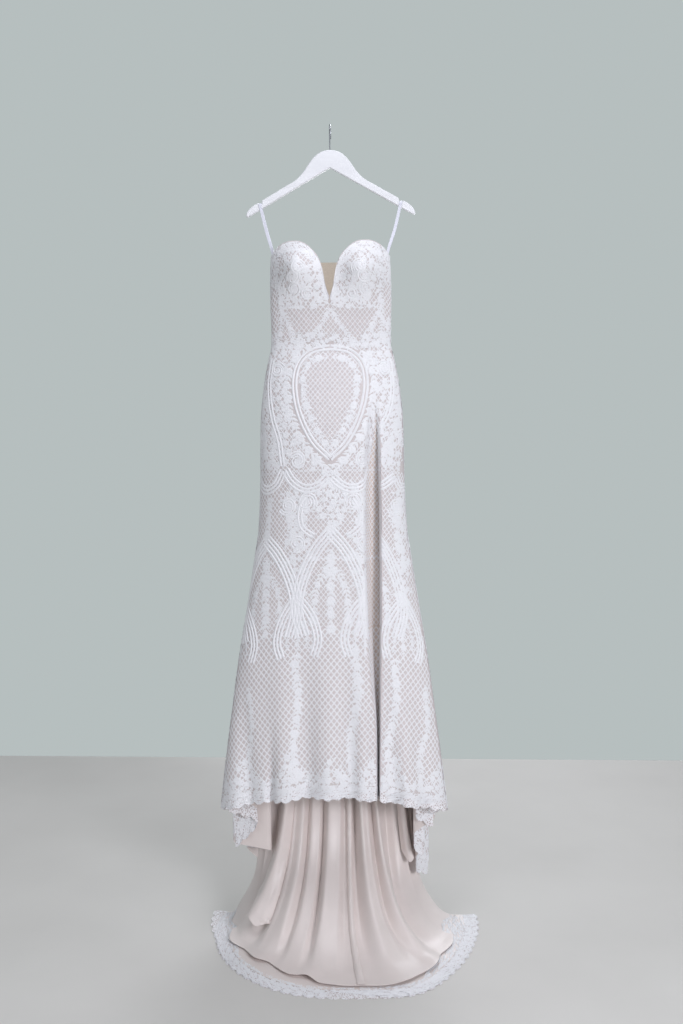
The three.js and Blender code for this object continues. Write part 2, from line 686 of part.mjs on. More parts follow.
const ARM_SLOPE = (HANGER.fork - HANGER.tipBottom) / (HANGER.halfWidth - 6);
const armTop = (x) => HANGER.fork - ARM_SLOPE * x + HANGER.arm;
const NOTCH_FLOOR = armTop(NOTCH.x + NOTCH.width / 2) - NOTCH.depth;

function hangerShape() {
  const { halfWidth, peak, fork, tipTop, tipBottom } = HANGER;
  const notchLeft = NOTCH.x - NOTCH.width / 2;
  const notchRight = NOTCH.x + NOTCH.width / 2;
  const shape = new THREE.Shape();
  shape.moveTo(0, peak);
  shape.bezierCurveTo(26, peak, 42, peak - 14, 60, peak - 42);
  shape.bezierCurveTo(72, peak - 60, 84, armTop(100) + 6, 110, armTop(110));
  shape.lineTo(notchLeft, armTop(notchLeft));
  shape.lineTo(notchLeft + 1, NOTCH_FLOOR);
  shape.lineTo(notchRight - 1, NOTCH_FLOOR);
  shape.lineTo(notchRight, armTop(notchRight));
  shape.quadraticCurveTo(halfWidth - 4, tipTop + 12, halfWidth, tipBottom + 4);
  shape.quadraticCurveTo(halfWidth, tipBottom, halfWidth - 6, tipBottom);
  shape.lineTo(0, fork);
  const mirrored = shape.getPoints(6).slice(1, -1).reverse();
  mirrored.forEach((point) => shape.lineTo(-point.x, point.y));
  shape.closePath();
  return shape;
}

function addHanger() {
  const bevel = 2;
  const body = new THREE.ExtrudeGeometry(hangerShape(), {
    depth: HANGER.thickness - 2 * bevel,
    bevelEnabled: true,
    bevelThickness: bevel,
    bevelSize: bevel,
    bevelOffset: -bevel,
    bevelSegments: 1,
    curveSegments: 6,
  });
  body.translate(0, 0, bevel - HANGER.thickness / 2);
  body.rotateX(Math.PI / 2);
  addPiece("hanger_body", body, materials.paintedWood);

  const centre = HOOK.seat - HOOK.radius + HOOK.wire / 2;
  const points = [new THREE.Vector3(0, 0, HANGER.peak + SEAM_GAP), new THREE.Vector3(0, 0, centre)];
  for (let turn = 20; turn <= 180; turn += 20) {
    const y = HOOK.radius * (1 - cosineOf(turn));
    points.push(new THREE.Vector3(0, y, centre + HOOK.radius * sineOf(turn)));
  }
  points.push(new THREE.Vector3(0, 2 * HOOK.radius, centre - HOOK.tail));
  const section = new THREE.Shape();
  section.absarc(0, 0, HOOK.wire / 2, 0, 2 * Math.PI);
  const path = new THREE.CatmullRomCurve3(points, false, "centripetal");
  const hook = new THREE.ExtrudeGeometry(section, {
    steps: HOOK.steps,
    curveSegments: HOOK.sides / 2,
    extrudePath: path,
  });
  addPiece("hanger_hook", hook, materials.steel);
}

// A ribbon loop: up inside the bodice, over the hanger's notch and down again
function addLoop(name, sign) {
  const sew = tubePoint(sign * 88, 1772);
  const inset = sign * LOOP.inset;
  const rest = NOTCH_FLOOR + SEAM_GAP + LOOP.thickness / 2;
  const face = HANGER.thickness / 2 + SEAM_GAP * 2 + LOOP.thickness / 2;
  const run = (side) => [
    { x: sew.x - inset, y: sew.y + side * LOOP.spread, z: sew.z - LOOP.inside, twist: 1 },
    { x: sew.x - inset, y: sew.y + side * LOOP.spread, z: sew.z + 2, twist: 1 },
    { x: sign * (NOTCH.x - 16), y: side * (face + 3), z: rest - 70, twist: 0.3 },
    { x: sign * (NOTCH.x - 3), y: side * face, z: rest - 16, twist: 0 },
    { x: sign * NOTCH.x, y: side * face, z: rest - 3, twist: 0 },
    { x: sign * NOTCH.x, y: side * (face - 2), z: rest, twist: 0 },
  ];
  const stations = [...run(-1), ...run(1).reverse()];
  const edges = [[], []];
  const backs = [[], []];
  stations.forEach((station, i) => {
    const before = stations[Math.max(i - 1, 0)];
    const after = stations[Math.min(i + 1, stations.length - 1)];
    const along = new THREE.Vector3(after.x - before.x, after.y - before.y, after.z - before.z).normalize();
    const up = i < stations.length / 2 ? 1 : -1;
    const across = new THREE.Vector3(1 - station.twist, sign * up * station.twist, 0);
    across.addScaledVector(along, -across.dot(along)).normalize();
    const thick = along.clone().cross(across).setLength(LOOP.thickness / 2);
    const centre = new THREE.Vector3(station.x, station.y, station.z);
    [-1, 1].forEach((edge, e) => {
      const side = centre.clone().addScaledVector(across, (edge * LOOP.width) / 2);
      edges[e].push(side.clone().add(thick));
      backs[e].push(side.clone().sub(thick));
    });
  });
  addPiece(name, wallGeometry(edges, backs), materials.ribbon);
}

addHanger();
addLoop("hanging_loop_left", -1);
addLoop("hanging_loop_right", 1);
addBodiceFront();
addBodiceSides();
const skirt = addSkirt();
addPlacket(skirt);
addLining();

// The origin is the inside of the hook, where it rests on what holds it
dress.position.set(0, -HOOK.radius, -HOOK.seat);
const part = new THREE.Group();
part.add(dress);

export default part;
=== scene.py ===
import math

import bpy
import numpy as np
from mathutils import Matrix, Vector


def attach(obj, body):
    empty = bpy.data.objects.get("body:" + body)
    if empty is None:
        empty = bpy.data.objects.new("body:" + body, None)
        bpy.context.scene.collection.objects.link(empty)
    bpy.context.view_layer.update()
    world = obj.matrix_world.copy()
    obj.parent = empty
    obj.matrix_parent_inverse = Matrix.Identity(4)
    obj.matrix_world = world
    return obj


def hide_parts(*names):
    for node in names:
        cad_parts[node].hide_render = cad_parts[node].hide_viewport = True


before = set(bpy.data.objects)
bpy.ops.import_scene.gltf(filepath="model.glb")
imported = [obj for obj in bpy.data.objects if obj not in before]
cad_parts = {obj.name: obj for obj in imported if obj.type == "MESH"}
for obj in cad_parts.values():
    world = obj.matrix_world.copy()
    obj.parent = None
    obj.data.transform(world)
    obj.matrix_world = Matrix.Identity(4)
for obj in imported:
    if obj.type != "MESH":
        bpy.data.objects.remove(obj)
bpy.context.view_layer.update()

# Sizes of the dress, in millimetres and in degrees from the centre front
MM = 0.001
SIGN = {"left": -1, "right": 1}
HOOK_SEAT = np.array([0.0, 18.0, 2112.0])
WAIST = 1555
FRONT_HEM = 434
FRONT_HEM_DROP = 54
BACK_SEAM_END = 158
FRONT_EDGE_ANGLE = 83
SEAM_GAP = 0.3
LACE_WALL = 2
CUP_WALL = 3
LINING_WALL = 1.4
BORDER_WALL = 1
BORDER_DEPTH = 40
SCALLOP_DEPTH = 8
SCALLOP_WIDTH = 29
LAP = 15
PRINCESS_X = 130
PRINCESS_TOP = 1790
BACK_PANEL_ANGLE = 125
SIDE_START_ANGLE = 57
CUP = {"x": 84, "height": 1736, "spread_x": 44, "spread_z": 50, "reach": 42}
FALL_SPAN = 80
FALL_BLEND = (430, 760)
TRAIN_LOW = 40
TRAIN_CENTRE_Y = 20
TRAIN_SPAN = 91
LINING_TOP = 470
LINING_REACH = 0.75
LINING_SEAM = 0.125
LOOP_WIDTH = 7
NOTCH_X = 182
NOTCH_REST = 1912.4
HANGER_FACE = 7.2
FLAT_CELL = 3.0
CENTRE_GAP = 0.5
BODICE_TOP = 1812
PLACKET_TOP = 1760
PLACKET_END = 1332
PLACKET_WIDTH = 18
LOOP_SEW_ANGLE = 88
LOOP_SEW_HEIGHT = 1772
FOLD_TOP = 1400
FOLD_TAPER = 240
BACK_LACE_LENGTH = 1480
BACK_LACE_END = 60
TRAIN_LACE_TOP = 90

# Columns and rows of the panels' grids
FRONT_ROWS = 140
SIDE_ROWS = 100
BACK_COLUMNS = 46
BACK_ROWS = 120
TRAIN_ROWS = 26
CUP_COLUMNS = 56
BODICE_COLUMNS = 40
BODICE_ROWS = 60
MIDRIFF_ROWS = 40
BODICE_LACE_GRID = 90
LINING_COLUMNS_PER_TURN = 145
LINING_ROWS = 52
LINING_FLOOR_ROWS = 29
FLAP_COLUMNS = 30
FLAP_ROWS = 70
# Front panel: place and columns to the next; 0 is the centre, and the deep fold runs from 1 to 3
FRONT_PLACES = [(-1, 48), (0, 28), (1, 14), (2, 10), (3, 20), (4, 0)]

# Colours as seen on a screen, 0 to 255
IVORY_THREAD = (246, 245, 248)
BLUSH_GROUND = (202, 191, 191)
# Painted shade: the next two tones are the lace ground's warmer tan inside the deep fold of the front skirt,
# standing for shade there.
FOLD_SHADE_NET = (228, 215, 207)
FOLD_SHADE_TAN = (204, 187, 177)
NET = (220, 212, 212)
CHAMPAGNE = (235, 224, 220)
NUDE = (252, 242, 230)
PAINT = (242, 242, 246)
PAINT_LOW = (234, 234, 238)
STEEL = (196, 198, 202)
STEEL_GRAIN = (176, 178, 184)
RIBBON = (232, 232, 242)
RIBBON_DARK = (216, 217, 230)
FLOOR = (214, 211, 207)
FLOOR_DARK = (209, 206, 202)
# Light of the surroundings, in linear light
WORLD_FRONT = (0.21, 0.225, 0.235)
WORLD_BACK = (0.47, 0.52, 0.52)
LIGHT = (0.93, 0.94, 1)

rng = np.random.default_rng(7)


class Table:
    """Rows of numbers under named columns, read on a smooth curve through the rows."""

    def __init__(self, names, rows):
        values = np.array(sorted(rows), float)
        self.key = values[:, 0]
        self.columns = dict(zip(names.split()[1:], values.T[1:]))

    def read(self, column, at):
        key = self.key
        value = self.columns[column]
        at = np.clip(at, key[0], key[-1])
        span = np.diff(key)
        slope = np.diff(value) / span
        product = slope[:-1] * slope[1:]
        total = np.where(product > 0, slope[:-1] + slope[1:], 1)
        inner = np.where(product > 0, 2 * product / total, 0)
        tangent = np.concatenate([slope[:1], inner, slope[-1:]])
        i = np.clip(np.searchsorted(key, at) - 1, 0, len(span) - 1)
        slopes = (tangent[i] * span[i], tangent[i + 1] * span[i])
        return hermite(value[i], value[i + 1], *slopes, (at - key[i]) / span[i])


def hermite(start, end, start_slope, end_slope, t):
    t2 = t * t
    t3 = t2 * t
    ends = start * (2 * t3 - 3 * t2 + 1) + end * (3 * t2 - 2 * t3)
    return ends + start_slope * (t3 - 2 * t2 + t) + end_slope * (t3 - t2)


def ease(value, low, high):
    share = np.clip((value - low) / (high - low), 0, 1)
    return share * share * (3 - 2 * share)


def blend(a, b, share):
    return a + (b - a) * share


# Rings of the tube from knee flare to bust
RINGS = Table("height half_width front side back", [
    (300, 303, -192, -100, 34), (390, 291, -183, -93, 34), (500, 278, -172, -82, 34),
    (615, 263, -161, -70, 34), (735, 247, -150, -57, 34), (886, 222, -136, -42, 34),
    (982, 207, -128, -34, 34), (1060, 195, -122, -28, 34), (1186, 188, -117, -24, 33),
    (1303, 186, -112, -24, 33), (1364, 184, -105, -23, 32), (1437, 176, -90, -22, 30),
    (1500, 165, -75, -20, 27), (1555, 154, -62, -18, 24), (1610, 155, -66, -19, 25),
    (1655, 156, -72, -21, 26), (1735, 154, -80, -23, 27), (1810, 149, -68, -24, 27),
])
# Sweetheart top edge and the seam under the cup, from the centre front to the princess seam
NECKLINE = Table("x top under", [
    (1.2, 1668, 1650), (10, 1696, 1647), (15, 1726, 1645), (21, 1749, 1643), (31, 1770, 1641),
    (47, 1788, 1639), (63, 1801, 1638), (80, 1807, 1639), (97, 1808, 1642), (114, 1805, 1647),
    (130, 1797, 1654),
])
SIDE_TOP = Table("angle top", [(57, 1797), (68, 1786), (80, 1775), (100, 1768), (130, 1765), (180, 1764)])
# The deep fold down the front: its line, the run of its two sides, and its depth
PLEAT = Table("height x left right depth", [
    (300, 119, 5, 3, 40), (560, 121, 9, 4, 43), (700, 122, 23, 5, 45), (850, 123, 36, 6, 46),
    (1050, 123, 42, 7, 44), (1250, 120, 38, 8, 32), (1350, 117, 24, 9, 12), (1430, 115, 16, 9, 0),
    (1560, 112, 14, 9, 0),
])
# Folds of the side panels at the hem, from the front panel to the back panel: x, y, hem
SIDE_FOLDS = {
    "left": [(-204, -84, 334), (-270, -67, 238), (-172, -52, 208), (-246, 14, 190)],
    "right": [
        (216, -89, 356), (264, -79, 316), (210, -68, 262), (238, -57, 230), (216, -46, 192), (250, 16, 152),
    ],
}
# Where lace edges the side panels: name, first and last corner of the hem, counted from the front seam
SIDE_BORDERS = {
    "left": [("side_border", 0, 3)],
    "right": [("side_border", 0, 3), ("side_tip", 4, 5), ("side_end", 6, 7)],
}
# Columns from one corner of a side panel to the next, and heights where its folds start and are full
FOLD_COLUMNS = 11
FOLDS_START = 850
FOLDS_FULL = 330
# The back panel as it falls and swings forward
BACK_FALL = Table("height half_width centre edge", [
    (1555, 122, 24, 8), (1300, 149, 33, 10), (1000, 170, 34, 10), (700, 198, 34, 10), (560, 206, 34, 11),
    (450, 208, 32, 12), (350, 209, 24, 14), (270, 210, 8, 16), (200, 212, -18, 17), (140, 218, -55, 17),
    (90, 231, -105, 16), (40, 264, -178, 13),
])
# Reach of the train on the floor by direction: the lace without its border, and the shorter lining
TRAIN_REACH = Table("turn lace lining", [
    (-1, 303, 296), (-0.75, 308, 298), (-0.55, 337, 316), (-0.35, 371, 330), (-0.1, 401, 368),
    (0.12, 410, 398), (0.3, 431, 410), (0.5, 396, 376), (0.75, 359, 336), (1, 342, 318),
])
# Width of the lace that shows inside the train along its edge
TRAIN_EDGE = Table("turn width", [
    (-1, 24), (-0.75, 22), (-0.4, 10), (0, 4), (0.3, 14), (0.55, 46), (0.75, 62), (1, 40),
])

# Creases placed one by one

# Soft flutes of the front skirt: x where full, height where each starts, half width, depth outwards, lean
FRONT_FLUTES_FULL = 330
FRONT_FLUTES = [
    (-256, 780, 24, 11, 0.02), (-208, 760, 20, -14, 0.03), (-158, 600, 10, -18, -0.02),
    (-118, 930, 30, 15, 0.02), (-62, 860, 24, -15, 0.01), (-8, 980, 30, 13, 0), (44, 860, 22, -13, 0),
    (82, 900, 18, 9, -0.02), (166, 860, 18, -12, -0.04), (204, 760, 22, 13, -0.05),
    (246, 700, 16, -11, -0.05),
]
# Drag lines on the body: x, height, half length, half width, lean in degrees, depth outwards
DRAG_LINES = [
    (-118, 1508, 46, 5, 24, 1.6), (-128, 1470, 52, 6, 34, 1.8), (112, 1512, 44, 5, -20, 1.7),
    (126, 1462, 50, 6, -32, 1.5), (-60, 1404, 70, 9, 12, 1.4), (58, 1380, 64, 8, -14, 1.3),
    (-104, 1590, 30, 4, 18, 1.3), (96, 1596, 34, 4, -16, 1.3), (-84, 1622, 30, 5, -38, 1.2),
]
# Soft folds of the back skirt, with the columns of the front flutes
BACK_FLUTES_FULL = 150
BACK_FLUTES = [
    (-150, 900, 30, 5, 0), (-92, 1000, 24, -6, 0), (-38, 820, 26, 5, 0), (22, 980, 22, -5, 0),
    (74, 860, 30, 6, 0), (132, 940, 24, -6, 0),
]
# Ridges and hollows of the train lining: turn at the top, turn at the hem, rise
LINING_FOLDS = [
    (-0.82, -0.82, 6), (-0.68, -0.74, 4), (-0.55, -0.62, 9), (-0.44, -0.53, 3), (-0.37, -0.42, 26),
    (-0.29, -0.33, 38), (-0.24, -0.28, 17), (-0.2, -0.235, 33), (-0.14, -0.17, 29), (-0.1, -0.135, 14),
    (-0.045, -0.08, 44), (0.045, 0.015, 38), (0.085, 0.07, 18), (0.125, 0.125, 24), (0.165, 0.19, 10),
    (0.225, 0.29, 52), (0.27, 0.35, 43), (0.315, 0.42, 19), (0.37, 0.485, 46), (0.46, 0.58, 0),
    (0.56, 0.66, 6), (0.68, 0.78, 4), (0.85, 0.9, 8),
]
# Share of the lining's run that hangs; the rest lies on the floor
HANGING_SHARE = 0.6
# Rows of a turned-over edge above its slanted end
FLAP_LEVEL_ROWS = 48
# Turned-over edges of the lining: turn of the first and last column by run, then each column's end and rise
LINING_FLAPS = {
    "left": (
        Table("run first last", [
            (0, -0.36, -0.56), (0.35, -0.4, -0.6), (0.52, -0.43, -0.67), (0.66, -0.44, -0.71),
        ]),
        Table("share run rise", [
            (0, 0.575, 20), (0.15, 0.65, 39), (0.27, 0.695, 46), (0.5, 0.64, 56), (0.75, 0.56, 45),
            (1, 0.47, 20),
        ]),
    ),
    "right": (
        Table("run first last", [(0, 0.95, 0.64), (0.25, 0.92, 0.65), (0.42, 0.88, 0.67)]),
        Table("share run rise", [
            (0, 0.35, 4), (0.16, 0.37, 32), (0.36, 0.385, 20), (0.56, 0.41, 50), (0.8, 0.425, 46),
            (1, 0.38, 22),
        ]),
    ),
}
# How far the lining's hem runs past its even line, and small places where it lifts
LINING_HEM = Table("turn extra lift", [
    (-0.76, -6, 2), (-0.62, 14, 9), (-0.5, -4, 3), (-0.38, 9, 12), (-0.31, -7, 2), (-0.18, 6, 5),
    (-0.1, -3, 15), (-0.03, 9, 2), (0.12, 4, 3), (0.24, 12, 8), (0.36, -2, 2), (0.46, 8, 13),
    (0.55, -9, 2), (0.66, 5, 8), (0.76, -5, 2),
])


# Surfaces of the dress

def points_of(x, y, z):
    return np.stack(np.broadcast_arrays(x, y, z), axis=-1)


def tube(angle, height):
    turn = np.radians(angle)
    side = RINGS.read("side", height)
    end = np.where(np.cos(turn) > 0, RINGS.read("front", height), RINGS.read("back", height))
    x = RINGS.read("half_width", height) * np.sin(turn)
    return points_of(x, side + (end - side) * np.abs(np.cos(turn)), height)


def angle_of_x(x, height):
    return np.degrees(np.arcsin(np.clip(x / RINGS.read("half_width", height), -1, 1)))


def drag_lines(x, height):
    depth = np.zeros(np.broadcast(x, height).shape)
    for at_x, at_z, length, width, lean, rise in DRAG_LINES:
        turn = math.radians(lean)
        along = (x - at_x) * math.cos(turn) + (height - at_z) * math.sin(turn)
        across = (height - at_z) * math.cos(turn) - (x - at_x) * math.sin(turn)
        depth = depth + rise * np.exp(-((along / length) ** 2) - (across / width) ** 2)
    return depth


def bodice(angle, height):
    points = tube(angle, height)
    front = np.cos(np.radians(angle)) > 0
    aside = (np.abs(points[..., 0]) - CUP["x"]) / CUP["spread_x"]
    above = (points[..., 2] - CUP["height"]) / CUP["spread_z"]
    bulge = CUP["reach"] * np.exp(-aside * aside - above * above) + drag_lines(points[..., 0], points[..., 2])
    points[..., 1] -= np.where(front, bulge, 0)
    return points


def flutes(rows, x, height, full):
    depth = np.zeros(np.broadcast(x, height).shape)
    for at, top, width, rise, lean in rows:
        centre = at * (1 + lean * (height - full) / 100)
        depth = depth + rise * np.exp(-(((x - centre) / width) ** 2)) * (1 - ease(height, full, top))
    return depth


def front_hem(angle):
    return FRONT_HEM - FRONT_HEM_DROP * np.sin(np.radians(angle)) ** 2


def front_skirt(angle, height, pleat_share):
    points = tube(angle, height)
    profile = np.where(pleat_share < 0, 1 - ease(-pleat_share, 0.5, 1), 1 - pleat_share)
    depth = PLEAT.read("depth", height) * profile
    x = points[..., 0]
    raised = flutes(FRONT_FLUTES, x, height, FRONT_FLUTES_FULL) + drag_lines(x, height)
    points[..., 1] += depth - raised * np.abs(np.cos(np.radians(angle))) ** 0.5
    return points


def fall(turn, height):
    span = math.radians(FALL_SPAN)
    x = BACK_FALL.read("half_width", height) * np.sin(span * turn) / math.sin(span)
    bow = (np.cos(span * turn) - math.cos(span)) / (1 - math.cos(span))
    fallen = blend(BACK_FALL.read("edge", height), BACK_FALL.read("centre", height), bow)
    tube_y = tube(180 - angle_of_x(x, height), height)[..., 1]
    return points_of(x, blend(tube_y, fallen, 1 - ease(height, *FALL_BLEND)), height)


def train(turn, share, layer):
    start = fall(turn, TRAIN_LOW)
    reach = TRAIN_REACH.read(layer, turn) + (LINING_HEM.read("extra", turn) if layer == "lining" else 0)
    direction = np.radians(TRAIN_SPAN * turn)
    x = blend(start[..., 0], reach * np.sin(direction), share)
    y = blend(start[..., 1], TRAIN_CENTRE_Y - reach * np.cos(direction), share)
    return points_of(x, y, TRAIN_LOW * (1 - share) ** 3)


def line_through(corners, place):
    """A point on the smooth line through corners[k], each given for every height."""
    line = np.concatenate([[2 * corners[0] - corners[1]], corners, [2 * corners[-1] - corners[-2]]])
    gaps = np.sqrt(np.maximum(np.linalg.norm(np.diff(line, axis=0), axis=-1), 1e-6))[..., None]
    k = min(int(place), len(corners) - 2)
    p0, p1, p2, p3 = line[k : k + 4]
    g0, g1, g2 = gaps[k : k + 3]
    start = ((p1 - p0) / g0 - (p2 - p0) / (g0 + g1) + (p2 - p1) / g1) * g1
    end = ((p2 - p1) / g1 - (p3 - p1) / (g1 + g2) + (p3 - p2) / g2) * g1
    return hermite(p1, p2, start, end, place - k)


def side_corner(i, corners, folds, sign, height):
    start = tube(sign * FRONT_EDGE_ANGLE, height)
    end = fall(sign, height)
    if i == 0:
        return start
    if i == corners - 1:
        return end
    end_angle = 180 - angle_of_x(np.abs(end[..., 0]), height)
    smooth = tube(sign * blend(90, end_angle, (i - 1) / (corners - 2)), height)
    if i == 1:
        return smooth
    folded = points_of(folds[i - 2][0], folds[i - 2][1], height)
    return blend(smooth, folded, (1 - ease(height, FOLDS_FULL, FOLDS_START))[..., None])


# Panels as grids of points: grid[column][row], seen from outside from left to right and from the top down

def columns_between(stops):
    """Evenly spaced values between stops, given as value and number of steps to the next."""
    values = [np.linspace(a[0], b[0], a[1], endpoint=False) for a, b in zip(stops, stops[1:])]
    return np.concatenate(values + [[stops[-1][0]]])


def front_grid():
    places = columns_between(FRONT_PLACES)
    share = np.linspace(0, 1, FRONT_ROWS)
    columns = []
    for place in places:
        height = blend(WAIST, FRONT_HEM, share)
        for _ in range(3):
            angle, pleat_share = front_column(place, height)
            height = blend(WAIST - SEAM_GAP / 2, front_hem(angle[-1]), share)
        columns.append(front_skirt(angle, height, pleat_share))
    return np.array(columns), int(np.argmin(np.abs(places)))


def front_column(place, height):
    """Angle of a column of the front panel at each height, and its share of the fold's side."""
    x = PLEAT.read("x", height)
    left = PLEAT.read("left", height)
    right = PLEAT.read("right", height)
    outside = np.ones_like(height)
    if place <= 0:
        return FRONT_EDGE_ANGLE * place * outside, outside
    if place <= 1:
        return angle_of_x(x - left, height) * place, outside
    if place <= 3:
        share = place - 2
        return angle_of_x(x + share * (left if share < 0 else right), height), share * outside
    return blend(angle_of_x(x + right, height), FRONT_EDGE_ANGLE, place - 3), outside


def side_grid(side):
    sign = SIGN[side]
    folds = SIDE_FOLDS[side]
    corners = len(folds) + 3
    hems = [front_hem(FRONT_EDGE_ANGLE), front_hem(90), *[fold[2] for fold in folds], BACK_SEAM_END]
    columns = []
    for place in np.linspace(0, corners - 1, (corners - 1) * FOLD_COLUMNS + 1):
        hem = np.interp(place, np.arange(corners), hems)
        height = np.linspace(WAIST - SEAM_GAP / 2, hem, SIDE_ROWS)
        line = np.array([side_corner(i, corners, folds, sign, height) for i in range(corners)])
        columns.append(line_through(line, place))
    return np.array(columns if sign > 0 else columns[::-1])


def back_grid(side):
    sign = SIGN[side]
    turns = np.linspace(0, sign, BACK_COLUMNS) if sign < 0 else np.linspace(sign, 0, BACK_COLUMNS)
    height = np.linspace(WAIST - SEAM_GAP / 2, TRAIN_LOW, BACK_ROWS)
    share = np.linspace(0, 1, TRAIN_ROWS)[1:]
    hanging = fall(turns[:, None], height[None, :])
    depth = flutes(BACK_FLUTES, hanging[..., 0], height[None, :], BACK_FLUTES_FULL) * ease(height, 120, 400)
    hanging[..., 1] += depth * (1 - np.abs(turns[:, None]) ** 4)
    return soften(np.concatenate([hanging, train(turns[:, None], share[None, :], "lace")], axis=1), 8)


def bodice_front_grid(x, top, bottom, rows):
    height = blend(top[:, None], bottom[:, None], np.linspace(0, 1, rows)[None, :])
    return bodice(angle_of_x(x[:, None], height), height)


def bodice_side_grid(first_angle, last_angle, sign):
    angles = np.linspace(first_angle, last_angle, BODICE_COLUMNS)
    top = SIDE_TOP.read("top", angles)
    height = blend(top[:, None], WAIST + SEAM_GAP / 2, np.linspace(0, 1, BODICE_ROWS)[None, :])
    share = (angles - SIDE_START_ANGLE) / (180 - SIDE_START_ANGLE)
    start = angle_of_x(PRINCESS_X, height)
    grid = bodice(sign * blend(start, 180, share[:, None]), height)
    return grid if sign > 0 else grid[::-1]


def lining_rise(turn, height, run):
    """How far the lining stands off the lace, with its folds, which fan out and flatten over the floor."""
    top, hem, rises = np.array(LINING_FOLDS).T
    rise = np.empty(height.shape)
    for r in range(height.shape[1]):
        stops = blend(top, hem, run[0, r])
        i = np.clip(np.searchsorted(stops, turn[:, 0]) - 1, 0, len(stops) - 2)
        share = ease(turn[:, 0], stops[i], stops[i + 1])
        settled = ease(run[0, r], 0.5, 1)
        lifted = LINING_HEM.read("lift", turn[:, 0]) * ease(run[0, r], 0.86, 1)
        rise[:, r] = blend(rises[i], rises[i + 1], share) * blend(1, 0.14, settled) + lifted
    return 0.9 + ease(LINING_TOP - height, 0, 90) * (3 + rise) * blend(1, 0.55, ease(run, 0.7, 1))


def lining_grid(first, last):
    columns = max(12, int(abs(last - first) * LINING_COLUMNS_PER_TURN))
    turns = np.linspace(first, last, columns)[:, None]
    height = np.linspace(LINING_TOP, TRAIN_LOW, LINING_ROWS)[None, :]
    share = np.linspace(0, 1, LINING_FLOOR_ROWS)[None, 1:]
    base = soften(np.concatenate([fall(turns, height), train(turns, share, "lining")], axis=1), 22)
    hung = HANGING_SHARE * (LINING_TOP - height) / (LINING_TOP - TRAIN_LOW)
    run = np.concatenate([hung, HANGING_SHARE + (1 - HANGING_SHARE) * share], axis=1)
    rise = lining_rise(turns, base[..., 2], run)
    return base - grid_normals(base) * (LACE_WALL + rise)[..., None]


def flap_grid(side):
    """A turned-over edge of the lining: a rounded strip that hangs clear of it, with a pointed end."""
    edges, ends = LINING_FLAPS[side]
    share = np.linspace(0, 1, FLAP_COLUMNS)[:, None]
    run = ends.read("run", share) * np.linspace(0, 1, FLAP_ROWS)[None, :]
    turn = blend(edges.read("first", run), edges.read("last", run), share)
    height = LINING_TOP - np.minimum(run / HANGING_SHARE, 1) * (LINING_TOP - TRAIN_LOW)
    on_floor = np.clip((run - HANGING_SHARE) / (1 - HANGING_SHARE), 0, 1)
    base = np.where((run < HANGING_SHARE)[..., None], fall(turn, height), train(turn, on_floor, "lining"))
    rise = ends.read("rise", share) * blend(1, 0.75, run)
    return base - grid_normals(base) * rise[..., None]


def soften(grid, times):
    """Rounds off bends along the columns."""
    for _ in range(times):
        grid[:, 1:-1] = (grid[:, :-2] + 2 * grid[:, 1:-1] + grid[:, 2:]) / 4
    return grid


def unit(vectors):
    return vectors / np.maximum(np.linalg.norm(vectors, axis=-1, keepdims=True), 1e-9)


def grid_normals(grid):
    return unit(np.cross(np.gradient(grid, axis=1), np.gradient(grid, axis=0)))


def running_length(points, axis=0):
    steps = np.linalg.norm(np.diff(points, axis=axis), axis=-1)
    start = np.zeros_like(np.take(steps, [0], axis=axis))
    return np.concatenate([start, np.cumsum(steps, axis=axis)], axis=axis)


def resample(points, run, at):
    return np.stack([np.interp(at, run, column) for column in points.T], axis=1)


def border_grid(grid, first_share=0.012):
    """A scalloped strip that carries a panel on below its lower edge, or from a little above it."""
    edge = grid[:, -1]
    onward = grid[:, -1] - grid[:, -4]
    onward[edge[:, 2] < LACE_WALL, 2] = 0
    run = running_length(edge)
    count = max(1, round(run[-1] / SCALLOP_WIDTH))
    fine = np.linspace(0, run[-1], count * 10 + 1)
    edge = resample(edge, run, fine)
    onward = resample(unit(onward), run, fine)
    wave = np.abs(np.sin(np.pi * fine / run[-1] * count)) ** 0.7
    reach = BORDER_DEPTH - SCALLOP_DEPTH * (1 - wave)
    share = np.linspace(first_share, 1, 14)
    return edge[:, None, :] + onward[:, None, :] * (reach[:, None] * share[None, :])[..., None]


# Meshes

def to_frame(points):
    return (np.asarray(points).reshape(-1, 3) - HOOK_SEAT) * MM


def new_object(name, points, faces, materials, face_materials=None, flat=None):
    mesh = bpy.data.meshes.new(name)
    mesh.from_pydata(to_frame(points).tolist(), [], faces.tolist())
    for material in materials:
        mesh.materials.append(material)
    if face_materials is not None:
        mesh.polygons.foreach_set("material_index", face_materials)
    mesh.polygons.foreach_set("use_smooth", np.ones(len(faces), bool))
    if flat is not None:
        layer = mesh.uv_layers.new(name="cut")
        corners = np.empty(len(mesh.loops), int)
        mesh.loops.foreach_get("vertex_index", corners)
        layer.data.foreach_set("uv", (flat[corners] * MM).astype(np.float32).ravel())
    mesh.update()
    obj = bpy.data.objects.new(name, mesh)
    bpy.context.collection.objects.link(obj)
    return obj


def place_piece(obj, slot, *nodes):
    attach(obj, "root")
    if nodes:
        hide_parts(*nodes)
    return obj


